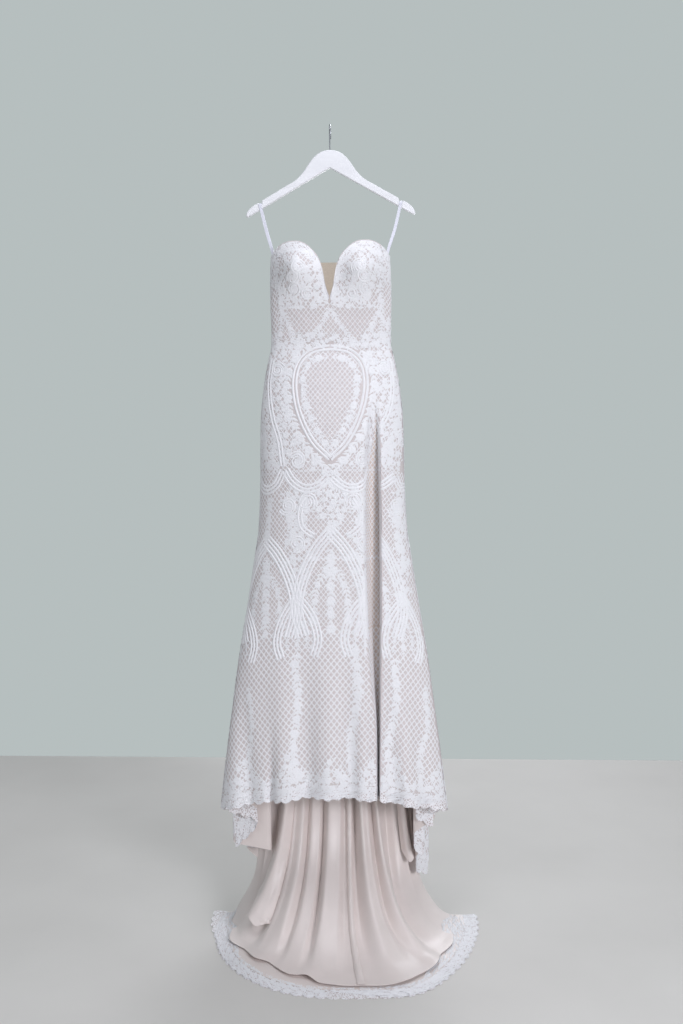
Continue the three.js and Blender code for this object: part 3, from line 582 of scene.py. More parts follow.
class Cloth:
    """A panel's grid, and the flat coordinates of its cut: across from one column and down from its top."""

    def __init__(self, grid, wall, centre=0):
        self.grid = grid
        self.wall = wall
        self.normals = grid_normals(grid)
        across = running_length(grid)
        self.across = across - across[centre]
        self.lengths = running_length(grid, 1)
        self.down = self.lengths[centre]
        self.level_rows = grid.shape[1]
        self.spread_out()

    def spread_out(self):
        """Samples the panel on an even flat lattice, so that motifs can be laid on it."""
        self.left = self.across.min() - FLAT_CELL
        flat_s = np.arange(self.left, self.across.max() + 2 * FLAT_CELL, FLAT_CELL)
        flat_t = np.linspace(0, self.down[-1], int(self.down[-1] / FLAT_CELL) + 2)
        self.row = flat_t[1]
        values = np.concatenate([self.grid, self.normals], axis=2)
        rows = []
        inside = []
        for r in range(values.shape[1]):
            run = self.across[:, r]
            rows.append([np.interp(flat_s, run, values[:, r, k]) for k in range(6)])
            inside.append((flat_s > run[0] - FLAT_CELL) & (flat_s < run[-1] + FLAT_CELL))
        r = np.clip(np.searchsorted(self.down, flat_t) - 1, 0, len(self.down) - 2)
        share = ((flat_t - self.down[r]) / (self.down[r + 1] - self.down[r]))[:, None, None]
        rows = np.array(rows)
        self.even = blend(rows[r], rows[r + 1], share).transpose(0, 2, 1)
        self.inside = np.array(inside)[r] & np.array(inside)[r + 1]

    def place(self, flat, lift):
        u = (flat[:, 0] - self.left) / FLAT_CELL
        v = flat[:, 1] / self.row
        rows, columns = self.inside.shape
        good = (u >= 0) & (v >= 0) & (u < columns - 1) & (v < rows - 1)
        c = np.clip(u.astype(int), 0, columns - 2)
        r = np.clip(v.astype(int), 0, rows - 2)
        good &= self.inside[r, c] & self.inside[r, c + 1] & self.inside[r + 1, c] & self.inside[r + 1, c + 1]
        fu = (u - c)[:, None]
        fv = (v - r)[:, None]
        upper = blend(self.even[r, c], self.even[r, c + 1], fu)
        lower = blend(self.even[r + 1, c], self.even[r + 1, c + 1], fu)
        value = blend(upper, lower, fv)
        return value[:, :3] + value[:, 3:] * lift[:, None], good

    def flat_of(self, x, height):
        """Flat coordinates of points given by their x and height."""
        middle = self.grid.shape[0] // 2
        rows = np.abs(self.grid[middle, :, 2][None, :] - np.asarray(height)[:, None]).argmin(axis=1)
        across = [np.interp(at, self.grid[:, r, 0], self.across[:, r]) for at, r in zip(x, rows)]
        return np.stack([across, self.down[rows]], axis=1)

    def shell(self, name, outer, inner):
        """The panel as a closed thin wall."""
        columns, rows = self.grid.shape[:2]
        under = self.grid - self.normals * self.wall
        size = columns * rows
        ids = np.arange(size).reshape(columns, rows)
        front = quads(ids[:-1, :-1], ids[:-1, 1:], ids[1:, 1:], ids[1:, :-1])
        back = front[:, ::-1] + size
        rims = [rim(line, line + size) for line in (ids[:, -1], ids[::-1, 0], ids[0], ids[-1, ::-1])]
        faces = np.concatenate([front, back, *rims])
        kinds = np.zeros(len(faces), int)
        kinds[len(front) : 2 * len(front)] = 1
        flat = np.stack([self.across, self.lengths], axis=-1).reshape(-1, 2)
        points = np.concatenate([self.grid.reshape(-1, 3), under.reshape(-1, 3)])
        obj = new_object(name, points, faces, [outer, inner], kinds, np.concatenate([flat, flat]))
        obj.data.set_sharp_from_angle(angle=math.radians(60))
        return obj

    def cut(self):
        """Width, length and area of the flat cut, in metres; the width is taken above a slanted end."""
        level = np.linalg.norm(np.diff(self.grid[:, : self.level_rows, :2], axis=0), axis=2)
        width = level.sum(axis=0).max() * MM
        length = self.lengths[:, -1].max() * MM
        cells = np.cross(np.diff(self.grid, axis=0)[:, :-1], np.diff(self.grid, axis=1)[:-1])
        area = np.linalg.norm(cells, axis=2).sum() * MM * MM
        return (width, length), min(area, width * length)


def quads(a, b, c, d):
    return np.stack([a, b, c, d], axis=-1).reshape(-1, 4)


def rim(upper, lower):
    return quads(upper[:-1], lower[:-1], lower[1:], upper[1:])


class Relief:
    """Raised threads of the lace on one panel, gathered into one mesh."""

    def __init__(self, cloth, face=1, keep=None):
        self.cloth = cloth
        self.face = face
        self.keep = keep
        self.points = []
        self.faces = []
        self.count = 0

    def strips(self, flat, lift, shown=None):
        """Strips of points: flat[strip, along, across] and how far each stands out of the panel."""
        strips, along, across = flat.shape[:3]
        raised = lift.reshape(-1) if self.face > 0 else -self.cloth.wall - lift.reshape(-1)
        points, good = self.cloth.place(flat.reshape(-1, 2), raised)
        if self.keep is not None:
            good &= self.keep(points)
        if shown is not None:
            good &= shown.reshape(-1)
        ids = np.arange(strips * along * across).reshape(strips, along, across)
        faces = quads(ids[:, :-1, :-1], ids[:, :-1, 1:], ids[:, 1:, 1:], ids[:, 1:, :-1])
        faces = faces[good[faces].all(axis=1)]
        if self.face < 0:
            faces = faces[:, ::-1]
        self.points.append(points)
        self.faces.append(faces + self.count)
        self.count += len(points)

    def cord(self, path, width=2.6, lift=1.6, shown=None):
        flat = beside(path, np.array([-0.5, 0, 0.5]) * width)
        height = np.tile([THREAD_FOOT, lift, THREAD_FOOT], (len(path), 1))
        mask = None if shown is None else np.repeat(shown(path)[:, None], 3, axis=1)
        self.strips(flat[None], height[None], mask)

    def band(self, path, count, spacing=9, width=6.4):
        """Thick parallel cords."""
        round_top = np.array([THREAD_FOOT, 1.5, 2.0, 1.5, THREAD_FOOT])
        for k in range(count):
            middle = spacing * (k - (count - 1) / 2)
            flat = beside(path, middle + width * np.array([-0.5, -0.32, 0, 0.32, 0.5]))
            self.strips(flat[None], np.tile(round_top, (1, len(path), 1)))

    def leaves(self, at, angle, length, width, lift=1.1, petal=False):
        """Leaves, or petals with a round end, from points at, each along its own angle."""
        u = np.array([0, 0.36, 0.8, 1] if petal else [0, 0.3, 0.7, 1])
        profile = np.sin(np.pi * u**0.62) if petal else np.sin(np.pi * (0.06 + 0.9 * u) ** 0.85)
        across = np.array([-1.0, 0, 1.0])
        along = length[:, None, None] * u[None, :, None] + 0 * across
        aside = 0.5 * width[:, None, None] * profile[None, :, None] * across[None, None, :]
        cos = np.cos(angle)[:, None, None]
        sin = np.sin(angle)[:, None, None]
        flat = np.stack([along * cos - aside * sin, along * sin + aside * cos], axis=-1)
        crown = lift * (1 - 0.75 * np.abs(across))[None, None, :] * (0.5 + 0.5 * profile)[None, :, None]
        self.strips(flat + at[:, None, None, :], np.broadcast_to(0.2 + crown, flat.shape[:3]))

    def flowers(self, at, radius, petals=6):
        count = len(at)
        first = rng.uniform(0, math.tau, count)
        angle = (first[:, None] + np.arange(petals)[None, :] * math.tau / petals).ravel()
        size = np.repeat(radius, petals)
        centres = np.repeat(at, petals, axis=0)
        offset = np.stack([np.cos(angle), np.sin(angle)], axis=1) * (0.16 * size)[:, None]
        self.leaves(centres + offset, angle, 0.84 * size, 0.92 * size, 1.5, petal=True)
        self.dots(at, 0.26 * radius, 2.0)

    def dots(self, at, radius, lift=1.4):
        steps = np.array([-1.0, 0, 1.0])
        i, j = np.meshgrid(steps, steps, indexing="ij")
        shrink = np.where(np.abs(i * j) > 0, 0.72, 1)
        disc = np.stack([-j * shrink, i * shrink], axis=-1)
        flat = at[:, None, None, :] + disc[None] * radius[:, None, None, None]
        height = np.where((i == 0) & (j == 0), lift, 0.2)
        self.strips(flat, np.broadcast_to(height, flat.shape[:3]))

    def lattice(self, across, down, cell, shown=None, width=2.3, lift=1.3):
        """Diamond trellis of fine cords over a flat rectangle."""
        t = np.arange(down[0], down[1] + 1, cell[1] / 2)
        reach = (down[1] - down[0]) / cell[1]
        for sign in (-1, 1):
            first = math.floor(across[0] / cell[0] - reach)
            last = math.ceil(across[1] / cell[0] + reach)
            for k in range(first, last + 1):
                s = cell[0] * (k + sign * (t - down[0]) / cell[1])
                path = np.stack([s, t], axis=1)
                limits = (s >= across[0]) & (s <= across[1])
                if limits.sum() > 1:
                    self.cord(path[limits], width, lift + 0.15 * sign, shown)

    def garland(self, path, leaf, flower, spacing):
        """A stem with leaves in pairs and flowers between them."""
        path = even_path(path, spacing)
        self.cord(path, 2.2, 1.0)
        along = np.gradient(path, axis=0)
        heading = np.arctan2(along[:, 1], along[:, 0])
        for side in (-1, 1):
            tilt = heading + side * (0.75 + 0.2 * rng.standard_normal(len(path)))
            size = leaf * rng.uniform(0.75, 1.15, len(path))
            self.leaves(path, tilt, size, size * 0.36)
        at = path[2 :: max(3, int(46 / spacing))]
        self.flowers(at, flower * rng.uniform(0.8, 1.15, len(at)))

    def meadow(self, across, down, spacing, shown=None, flower=0.47, leaves=3, *, seed):
        """Flowers and leaves packed over a flat rectangle, unevenly."""
        local = np.random.default_rng(seed)
        rows = np.arange(down[0], down[1], spacing * 0.86)
        centres = []
        for i, t in enumerate(rows):
            s = np.arange(across[0] + (i % 2) * spacing / 2, across[1], spacing)
            centres.append(np.stack([s, np.full_like(s, t)], axis=1))
        centres = np.concatenate(centres)
        centres = centres + local.normal(0, spacing * 0.13, centres.shape)
        if shown is not None:
            centres = centres[shown(centres)]
        if not len(centres):
            return
        self.flowers(centres, spacing * flower * local.uniform(0.75, 1.15, len(centres)))
        at = np.repeat(centres, leaves, axis=0)
        angle = local.uniform(0, math.tau, len(at))
        at = at + np.stack([np.cos(angle), np.sin(angle)], axis=1) * spacing * 0.42
        size = spacing * local.uniform(0.35, 0.62, len(at))
        self.leaves(at, angle + local.normal(0, 0.6, len(at)), size, size * 0.42, 1.3)

    def scroll(self, at, radius, heading, hand):
        """Two cords that curl inwards from a point, with a flower in their eye."""
        u = np.linspace(0, 1, 34)
        angle = heading + hand * math.tau * SCROLL_TURNS * u
        reach = radius * (1 - 0.72 * u)
        centre = np.array(at) - radius * np.array([math.cos(heading), math.sin(heading)])
        path = centre + np.stack([np.cos(angle), np.sin(angle)], axis=1) * reach[:, None]
        self.band(path, 2, 6.5, 4.8)
        self.flowers(centre[None], np.array([radius * 0.36]))

    def make(self, name, material, slot):
        points = np.concatenate(self.points)
        faces = np.concatenate(self.faces)
        used, renamed = np.unique(faces, return_inverse=True)
        obj = new_object(name, points[used], renamed.reshape(-1, 4), [material])
        return place_piece(obj, slot)


def beside(path, offsets):
    """Points at some distances to the side of each point of a flat line."""
    along = unit(np.gradient(path, axis=0))
    sideways = np.stack([-along[:, 1], along[:, 0]], axis=1)
    return path[:, None, :] + sideways[:, None, :] * offsets[None, :, None]


def even_path(path, spacing):
    run = running_length(path)
    return resample(path, run, np.linspace(0, run[-1], max(3, round(run[-1] / spacing) + 1)))


def curve(*points, steps=40):
    """A smooth flat line through a few points."""
    corners = np.array(points, float)[:, None, :]
    places = np.linspace(0, len(points) - 1, steps)
    return np.array([line_through(corners, place)[0] for place in places])


# Lace layouts, in flat millimetres: across from the panel's middle or edge, down from the waist

FINE_CELL = (12.5, 15)
WIDE_CELL = (15, 18)
ARCH_TOP = 492
TRELLIS_TOP = 735
HEM_BAND = 92
SCROLL_TURNS = 1.2
THREAD_FOOT = 0.15

# Bands of parallel cords on the right half, mirrored to the left: number of cords, points
BANDS = [
    (2, [(0, 16), (48, 26), (80, 56), (92, 108), (80, 184), (42, 262), (0, 304)]),
    (3, [(4, 350), (34, 374), (66, 378), (98, 358), (118, 328)]),
    (3, [(124, 328), (150, 364), (184, 372), (222, 344)]),
    (3, [(226, 346), (250, 368), (290, 358)]),
    (2, [(156, 44), (166, 110), (156, 190), (136, 250), (126, 316)]),
    (2, [(60, 400), (78, 432), (74, 474), (44, 500)]),
]
# Scrolls on the right half, mirrored to the left: place, radius, heading in degrees, hand
SCROLLS = [
    ((122, 66), 19, 200, 1), ((104, 296), 22, 330, -1), ((40, 424), 24, 150, 1),
    ((134, 426), 23, 20, 1), ((212, 426), 23, 160, -1), ((200, 246), 24, 180, 1), ((88, 536), 20, 90, 1),
]
# Garlands on the right half, mirrored to the left: leaf length, flower radius, points
GARLANDS = [
    (20, 12, [(80, 26), (112, 98), (102, 190), (62, 272), (14, 326)]),
    (15, 10, [(6, 42), (46, 52), (69, 94), (60, 170), (33, 232), (5, 276)]),
    (20, 11, [(188, 50), (194, 160), (178, 312)]),
    (17, 9, [(146, 214), (154, 262), (150, 320)]),
    (20, 12, [(98, 396), (108, 440), (98, 500)]),
    (20, 11, [(168, 392), (172, 450), (176, 496)]),
    (20, 12, [(250, 392), (244, 470), (266, 560)]),
]
# Pointed arches: centre, top, half width, height, number of cords
ARCHES = [
    (0, ARCH_TOP, 88, 262, 4), (176, ARCH_TOP + 8, 86, 254, 4), (-176, ARCH_TOP + 8, 86, 254, 4),
    (88, 655, 54, 150, 3), (-88, 655, 54, 150, 3), (264, 655, 54, 150, 3), (-264, 655, 54, 150, 3),
]
# Scrolls on the right cup, mirrored to the left: x, height, radius, heading in degrees, hand
CUP_SCROLLS = [
    (64, 1722, 20, 140, 1), (104, 1706, 18, 20, -1), (44, 1682, 15, 220, 1), (90, 1670, 16, 100, 1),
]
# Stems that run down to the hem: place across, start, leaf length
STEMS = [
    (-320, 830, 17), (-228, 868, 15), (-96, 800, 20), (60, 772, 22), (150, 850, 15), (238, 806, 20),
    (330, 860, 17),
]
# How a stem sways: distance aside, at a share of its length
STEM_SWAY = [(0, 0), (9, 0.35), (-7, 0.7), (4, 1)]
# Lines of half an arch, as shares of its half width and height: outline, garland inside and stem
ARCH_OUTLINE = [(0, 0), (0.42, 0.16), (0.86, 0.46), (1, 0.74), (0.8, 1)]
ARCH_GARLAND = [(0, 0.3), (0.4, 0.52), (0.5, 0.84)]
ARCH_STEM = [(0, 0.16), (0, 0.94)]


def shield_edge(t):
    """Half width of the trellised shield below the waist, at a distance down."""
    reach = np.where(t < 90, 74, 214)
    return 90 * np.sqrt(np.clip(1 - ((t - 90) / reach) ** 2, 0, 1))


def arch(relief, centre, top, half_width, height, count):
    """A pointed arch of parallel cords, with leaves and flowers inside."""
    def line(shares, side, steps):
        return curve(*[(centre + side * half_width * s, top + height * t) for s, t in shares], steps=steps)

    for side in (-1, 1):
        relief.band(line(ARCH_OUTLINE, side, 44), count)
        relief.garland(line(ARCH_GARLAND, side, 24), 0.19 * half_width, 0.1 * half_width, 11)
    relief.garland(line(ARCH_STEM, 1, 40), 0.22 * half_width, 0.15 * half_width, 12)
    relief.flowers(np.array([[centre, top - 8.0]]), np.array([15.0]), 8)


def skirt_lace(relief, trellis, bottom):
    """Lace of the front, and of each half of the back: shield, swags, arches, trellis and flowered hem."""
    trellis.lattice((-95, 95), (6, 300), FINE_CELL, inside_shield)
    trellis.lattice((-240, 240), (6, 336), FINE_CELL, outside_shield(22), 2.2)
    trellis.lattice((-300, 300), (330, ARCH_TOP + 70), FINE_CELL, None, 2.2)
    trellis.lattice((-330, 330), (ARCH_TOP + 60, TRELLIS_TOP), FINE_CELL, None, 2.0, 1.0)
    trellis.lattice((-440, 440), (TRELLIS_TOP, bottom), WIDE_CELL, None, 2.9)
    for side in (-1, 1):
        for count, points in BANDS:
            relief.band(curve(*[(side * s, t) for s, t in points]), count)
        for (s, t), radius, heading, hand in SCROLLS:
            turn = math.radians(heading if side > 0 else 180 - heading)
            relief.scroll((side * s, t), radius, turn, side * hand)
        for leaf, flower, points in GARLANDS:
            relief.garland(curve(*[(side * s, t) for s, t in points]), leaf, flower, 12)
    relief.meadow((-240, 240), (8, 318), 27, outside_shield(30), 0.4, 4, seed=4)
    relief.meadow((-60, 60), (336, ARCH_TOP - 8), 22, middle_flowers, seed=6)
    relief.meadow((-310, 310), (384, ARCH_TOP + 40), 25, between_arches(-0.4), 0.44, 4, seed=8)
    for row in ARCHES:
        arch(relief, *row)
    relief.meadow((-320, 320), (ARCH_TOP + 40, 668), 21, between_arches(-0.75), 0.42, 4, seed=10)
    for s, start, leaf in STEMS:
        sway = [(s + aside, blend(start, bottom, share)) for aside, share in STEM_SWAY]
        relief.garland(curve(*sway), leaf, 0.55 * leaf, 12)
    relief.meadow((-440, 440), (bottom - HEM_BAND, bottom), 22, hem_flowers(bottom), 0.48, 4, seed=12)


# Where motifs go: tests of flat points

def inside_shield(flat):
    return np.abs(flat[:, 0]) < shield_edge(flat[:, 1]) - 8


def outside_shield(margin):
    return lambda flat: np.abs(flat[:, 0]) > shield_edge(flat[:, 1]) + margin


def between_arches(level):
    return lambda flat: np.cos(flat[:, 0] / 28) < level


def middle_flowers(flat):
    return np.abs(flat[:, 0]) < 16 + 24 * np.sin((flat[:, 1] - 318) / 58) ** 2


def hem_flowers(bottom):
    """Clumps of flowers along a hem, tall and low by turns."""
    return lambda flat: flat[:, 1] > bottom - 24 - 58 * np.cos(flat[:, 0] / 41) ** 4


def waist_flowers(flat):
    """A trim whose upper and lower edges wander."""
    middle = 30 + 5 * np.sin(flat[:, 0] / 27)
    return np.abs(flat[:, 1] - middle) < 9 + 7 * np.sin(flat[:, 0] / 11) ** 2


def cup_flowers(flat):
    return flat[:, 1] < 58 + 16 * np.cos(flat[:, 0] / 17)


# Layouts of the side panels and the hem

def side_lace(relief, start, width, bottom):
    """Lace of a side panel: it carries the front's bands on, with stems and a flowered hem."""
    across = (start - 20, start + width + 20)
    relief.meadow(across, (36, 330), 25, None, 0.42, 4, seed=24)
    relief.lattice(across, (20, TRELLIS_TOP), FINE_CELL, None, 1.8)
    relief.meadow(across, (372, ARCH_TOP), 24, seed=26)
    for centre in np.arange(start + 10, across[1], 92):
        arch(relief, centre, ARCH_TOP + 20, 52, 220, 3)
    relief.lattice(across, (TRELLIS_TOP, bottom), WIDE_CELL, None, 2.9)
    for k, s in enumerate(np.arange(across[0] + 34, across[1], 66)):
        path = curve((s, 780 + 30 * (k % 2)), (s + 7, (780 + bottom) / 2), (s - 5, bottom))
        relief.garland(path, 17, 7 + 3 * (k % 2), 12)
    relief.meadow(across, (bottom - HEM_BAND, bottom), 22, hem_flowers(bottom), 0.48, 4, seed=28)


def border_lace(relief):
    """Flowers over the seam and in each scallop, leaves between, and cords with beads along the edge."""
    width = relief.cloth.across[-1, 0]
    depth = relief.cloth.down[-1]
    count = max(1, round(width / SCALLOP_WIDTH))
    step = width / count
    s = (np.arange(count) + 0.5) * step
    low = np.stack([s, np.full(count, 0.72 * depth)], axis=1)
    middle = np.stack([s[:-1] + step / 2, np.full(count - 1, 0.5 * depth)], axis=1)
    relief.flowers(low, rng.uniform(8, 10, count), 7)
    relief.flowers(middle, rng.uniform(7, 9, count - 1), 6)
    relief.meadow((2, width - 2), (3, LAP + 6), 17, None, 0.5, 4, seed=15)
    for angle in (0.1, 0.75, 2.39, 3.04, -0.6, -2.54):
        at = low + 9 * np.array([math.cos(angle), math.sin(angle)])
        relief.leaves(at, np.full(count, angle), np.full(count, 8.5), np.full(count, 4.2))
    fine = np.linspace(1, width - 1, count * 12)
    for share, thick in ((0.965, 3.4), (0.87, 2.2)):
        relief.cord(np.stack([fine, np.full_like(fine, share * depth)], axis=1), thick, 1.5)
    beads = np.arange(3, width - 2, 6.3)
    relief.dots(np.stack([beads, np.full_like(beads, 0.92 * depth)], axis=1), np.full(len(beads), 2.2))


# Materials

def linear(color):
    share = np.array(color) / 255
    return np.where(share <= 0.04045, share / 12.92, ((share + 0.055) / 1.055) ** 2.4).tolist()


def set_ramp(ramp, stops):
    for element, (position, color) in zip(ramp.color_ramp.elements, stops):
        element.position = position
        element.color = (*color, 1)


def cloth_material(name, color, dark, roughness, sheen, scale, strength, edge=False):
    """Cloth with a fine woven or knitted ground: two tones of one colour, and the same threads raised."""
    material = bpy.data.materials.new(name)
    material.use_nodes = True
    nodes = material.node_tree.nodes
    links = material.node_tree.links
    shader = nodes["Principled BSDF"]
    shader.inputs["Roughness"].default_value = roughness
    shader.inputs["Sheen Weight"].default_value = sheen
    shader.inputs["Sheen Roughness"].default_value = 0.45
    place = nodes.new("ShaderNodeTexCoord")
    threads = nodes.new("ShaderNodeTexVoronoi" if edge else "ShaderNodeTexNoise")
    threads.inputs["Scale"].default_value = scale
    if edge:
        threads.feature = "DISTANCE_TO_EDGE"
    else:
        threads.inputs["Detail"].default_value = 4
    links.new(place.outputs["Object"], threads.inputs["Vector"])
    tones = nodes.new("ShaderNodeValToRGB")
    stops = [(0.06, color), (0.2, dark)] if edge else [(0.3, dark), (0.7, color)]
    set_ramp(tones, [(position, linear(tone)) for position, tone in stops])
    fine = threads.outputs["Distance"] if edge else threads.outputs["Fac"]
    links.new(fine, tones.inputs["Fac"])
    links.new(tones.outputs["Color"], shader.inputs["Base Color"])
    bump = nodes.new("ShaderNodeBump")
    bump.inputs["Strength"].default_value = strength
    bump.inputs["Distance"].default_value = 0.0006
    bump.invert = edge
    links.new(fine, bump.inputs["Height"])
    links.new(bump.outputs["Normal"], shader.inputs["Normal"])
    return material


def satin_material():
    """Satin: smooth, with a soft gloss, fine weave lines and slow changes of tone."""
    material = cloth_material("satin", CHAMPAGNE, [c - 10 for c in CHAMPAGNE], 0.36, 0.2, 9, 0.0)
    nodes = material.node_tree.nodes
    links = material.node_tree.links
    cut = nodes.new("ShaderNodeUVMap")
    cut.uv_map = "cut"
    weave = nodes.new("ShaderNodeTexWave")
    weave.inputs["Scale"].default_value = 900
    weave.inputs["Distortion"].default_value = 2.5
    links.new(cut.outputs["UV"], weave.inputs["Vector"])
    bump = nodes["Bump"]
    bump.inputs["Strength"].default_value = 0.08
    links.new(weave.outputs["Fac"], bump.inputs["Height"])
    return material


def painted_wood_material():
    """White paint over fine grain, a little greyer in the low places."""
    material = cloth_material("painted_wood", PAINT, PAINT_LOW, 0.36, 0.0, 60, 0.03)
    nodes = material.node_tree.nodes
    links = material.node_tree.links
    stretch = nodes.new("ShaderNodeMapping")
    stretch.inputs["Scale"].default_value = (0.12, 1, 1)
    links.new(nodes["Texture Coordinate"].outputs["Object"], stretch.inputs["Vector"])
    links.new(stretch.outputs["Vector"], nodes["Noise Texture"].inputs["Vector"])
    return material


def steel_material():
    """Bright wire, with a faint drawn grain."""
    material = cloth_material("steel", STEEL, STEEL_GRAIN, 0.28, 0.0, 700, 0.08)
    material.node_tree.nodes["Principled BSDF"].inputs["Metallic"].default_value = 1.0
    return material


ground = cloth_material("lace_ground", NET, BLUSH_GROUND, 0.75, 0.2, 420, 0.5, edge=True)
# Painted shade: a warmer tan lace ground, used only inside the deep fold.
painted_fold_shade = cloth_material("painted_fold_shade", FOLD_SHADE_NET, FOLD_SHADE_TAN, 0.75, 0.2, 420, 0.5, edge=True)
border_ground = cloth_material("border_ground", IVORY_THREAD, BLUSH_GROUND, 0.8, 0.2, 170, 0.8, edge=True)
thread = cloth_material("lace_thread", IVORY_THREAD, [c - 12 for c in IVORY_THREAD], 0.7, 0.35, 520, 0.35)
nude_lining = cloth_material("nude_lining", NUDE, [c - 14 for c in NUDE], 0.6, 0.2, 500, 0.2)
ribbon_satin = cloth_material("ribbon", RIBBON, RIBBON_DARK, 0.45, 0.2, 420, 0.2)
satin = satin_material()
painted_wood = painted_wood_material()
steel = steel_material()

# Slot, outside and inside of each kind of cloth
SKIRT = ("lace", ground, satin)
BODICE = ("lace", ground, nude_lining)
PLACKET = ("lace", ground, ground)
HEM_LACE = ("hem_lace", border_ground, border_ground)
LINING = ("satin", satin, satin)


# Pieces

def add_sheet(cloth, name, node, kind):
    slot, outer, inner = kind
    shell = cloth.shell(name, outer, inner)
    place_piece(shell, slot, *([node] if node else []))
    flat, area = cloth.cut()
    return shell


def add_lace(name, cloth, draw, face=1, keep=None, slot="lace"):
    relief = Relief(cloth, face, keep)
    draw(relief)
    return relief.make(name, thread, slot)


def add_border(name, grid, node, face=1):
    cloth = Cloth(border_grid(grid), BORDER_WALL)
    lapped = Cloth(border_grid(grid, -LAP / BORDER_DEPTH), BORDER_WALL)
    lace = add_lace(f"{name}_threads", lapped, border_lace, face, slot="hem_lace")
    add_sheet(cloth, name, node, HEM_LACE)


def build_waist_lace():
    """The bodice lace's flowered lower edge, over the waist seam all round."""
    angles = np.linspace(-180, 180, 181)[:, None]
    height = np.linspace(WAIST + 30, WAIST - 28, 20)[None, :]
    grid = bodice(angles, height)
    cloth = Cloth(grid + grid_normals(grid) * 0.6, LACE_WALL, 90)
    reach = cloth.across[-1, 0]

    def draw(relief):
        relief.meadow((-reach, reach), (4, 52), 15, waist_flowers, 0.52, 5, seed=33)

    add_lace("waist_lace", cloth, draw)


def build_front_skirt():
    grid, centre = front_grid()
    cloth = Cloth(grid, LACE_WALL, centre)
    motifs = Relief(cloth, keep=outside_fold)
    trellis = Relief(cloth)
    skirt_lace(motifs, trellis, cloth.down[-1])
    lace = [motifs.make("front_motifs", thread, "lace"), trellis.make("front_trellis", thread, "lace")]
    shell = add_sheet(cloth, "front_skirt", "skirt_front", SKIRT)
    # Painted shade in the deep fold's recess.
    paint_shade_in_fold(shell)
    add_border("front_border", grid, "hem_lace_front")


def paint_shade_in_fold(shell):
    """Paints shade inside the deep fold: there the lace ground takes a warmer tan material."""
    faces = shell.data.polygons
    shell.data.materials.append(painted_fold_shade)
    centres = np.empty(3 * len(faces))
    kinds = np.empty(len(faces), int)
    faces.foreach_get("center", centres)
    faces.foreach_get("material_index", kinds)
    # Outer faces inside the fold get the painted shade material.
    inside = ~outside_fold(centres.reshape(-1, 3) / MM + HOOK_SEAT)
    kinds[inside & (kinds == 0)] = 2
    faces.foreach_set("material_index", kinds)


def outside_fold(points):
    """True outside the deep fold, whose inside shows trellis only."""
    height = points[:, 2]
    taper = ease(FOLD_TOP - height, 0, FOLD_TAPER)
    start = PLEAT.read("x", height) - 0.8 * taper * PLEAT.read("left", height)
    end = PLEAT.read("x", height) + 0.5 * taper * PLEAT.read("right", height)
    return (points[:, 0] < start) | (points[:, 0] > end)


def build_side_skirt(side):
    grid = side_grid(side)
    cloth = Cloth(grid, LACE_WALL, 0 if side == "right" else len(grid) - 1)
    width = (cloth.across[-1] - cloth.across[0]).max()
    start = 0 if side == "right" else -width

    def draw(relief):
        side_lace(relief, start, width, cloth.down[-1])

    lace = add_lace(f"side_lace_{side}", cloth, draw)
    node = f"skirt_side_{side}"
    add_sheet(cloth, f"side_skirt_{side}", node, SKIRT)
    outward = grid[::-1] if side == "left" else grid
    for name, first, last in SIDE_BORDERS[side]:
        strip = outward[first * FOLD_COLUMNS : last * FOLD_COLUMNS - 1]
        strip = strip[::-1] if side == "left" else strip
        add_border(f"{name}_{side}", strip, f"hem_lace_side_{side}")


def build_back_skirt(side):
    grid = back_grid(side)
    centre = 0 if side == "left" else len(grid) - 1
    cloth = Cloth(grid, LACE_WALL, centre)
    outside = add_lace(f"back_lace_{side}", cloth, back_lace, keep=above_train)
    inside = add_lace(f"train_lace_{side}", cloth, train_lace, -1, on_train_edge)
    node = f"skirt_back_{side}"
    add_sheet(cloth, f"back_skirt_{side}", node, SKIRT)
    add_border(f"train_border_{side}", grid, f"hem_lace_back_{side}", face=-1)


def back_lace(relief):
    skirt_lace(relief, relief, BACK_LACE_LENGTH)


def above_train(points):
    return points[:, 2] > BACK_LACE_END


def train_lace(relief):
    """The lace that shows inside the train along its edge."""
    bottom = relief.cloth.down[-1]
    relief.meadow((-560, 560), (bottom - 190, bottom + 10), 24, None, 0.47, 5, seed=41)


def on_train_edge(points):
    """Close to the train's edge, wider at the sides than at the front, with an uneven inner line."""
    turn = np.degrees(np.arctan2(points[:, 0], TRAIN_CENTRE_Y - points[:, 1])) / TRAIN_SPAN
    reach = np.hypot(points[:, 0], points[:, 1] - TRAIN_CENTRE_Y)
    width = TRAIN_EDGE.read("width", turn) + 5 * np.sin(turn * 31)
    low = points[:, 2] < TRAIN_LACE_TOP
    return (reach > TRAIN_REACH.read("lace", np.clip(turn, -1, 1)) - width) & low


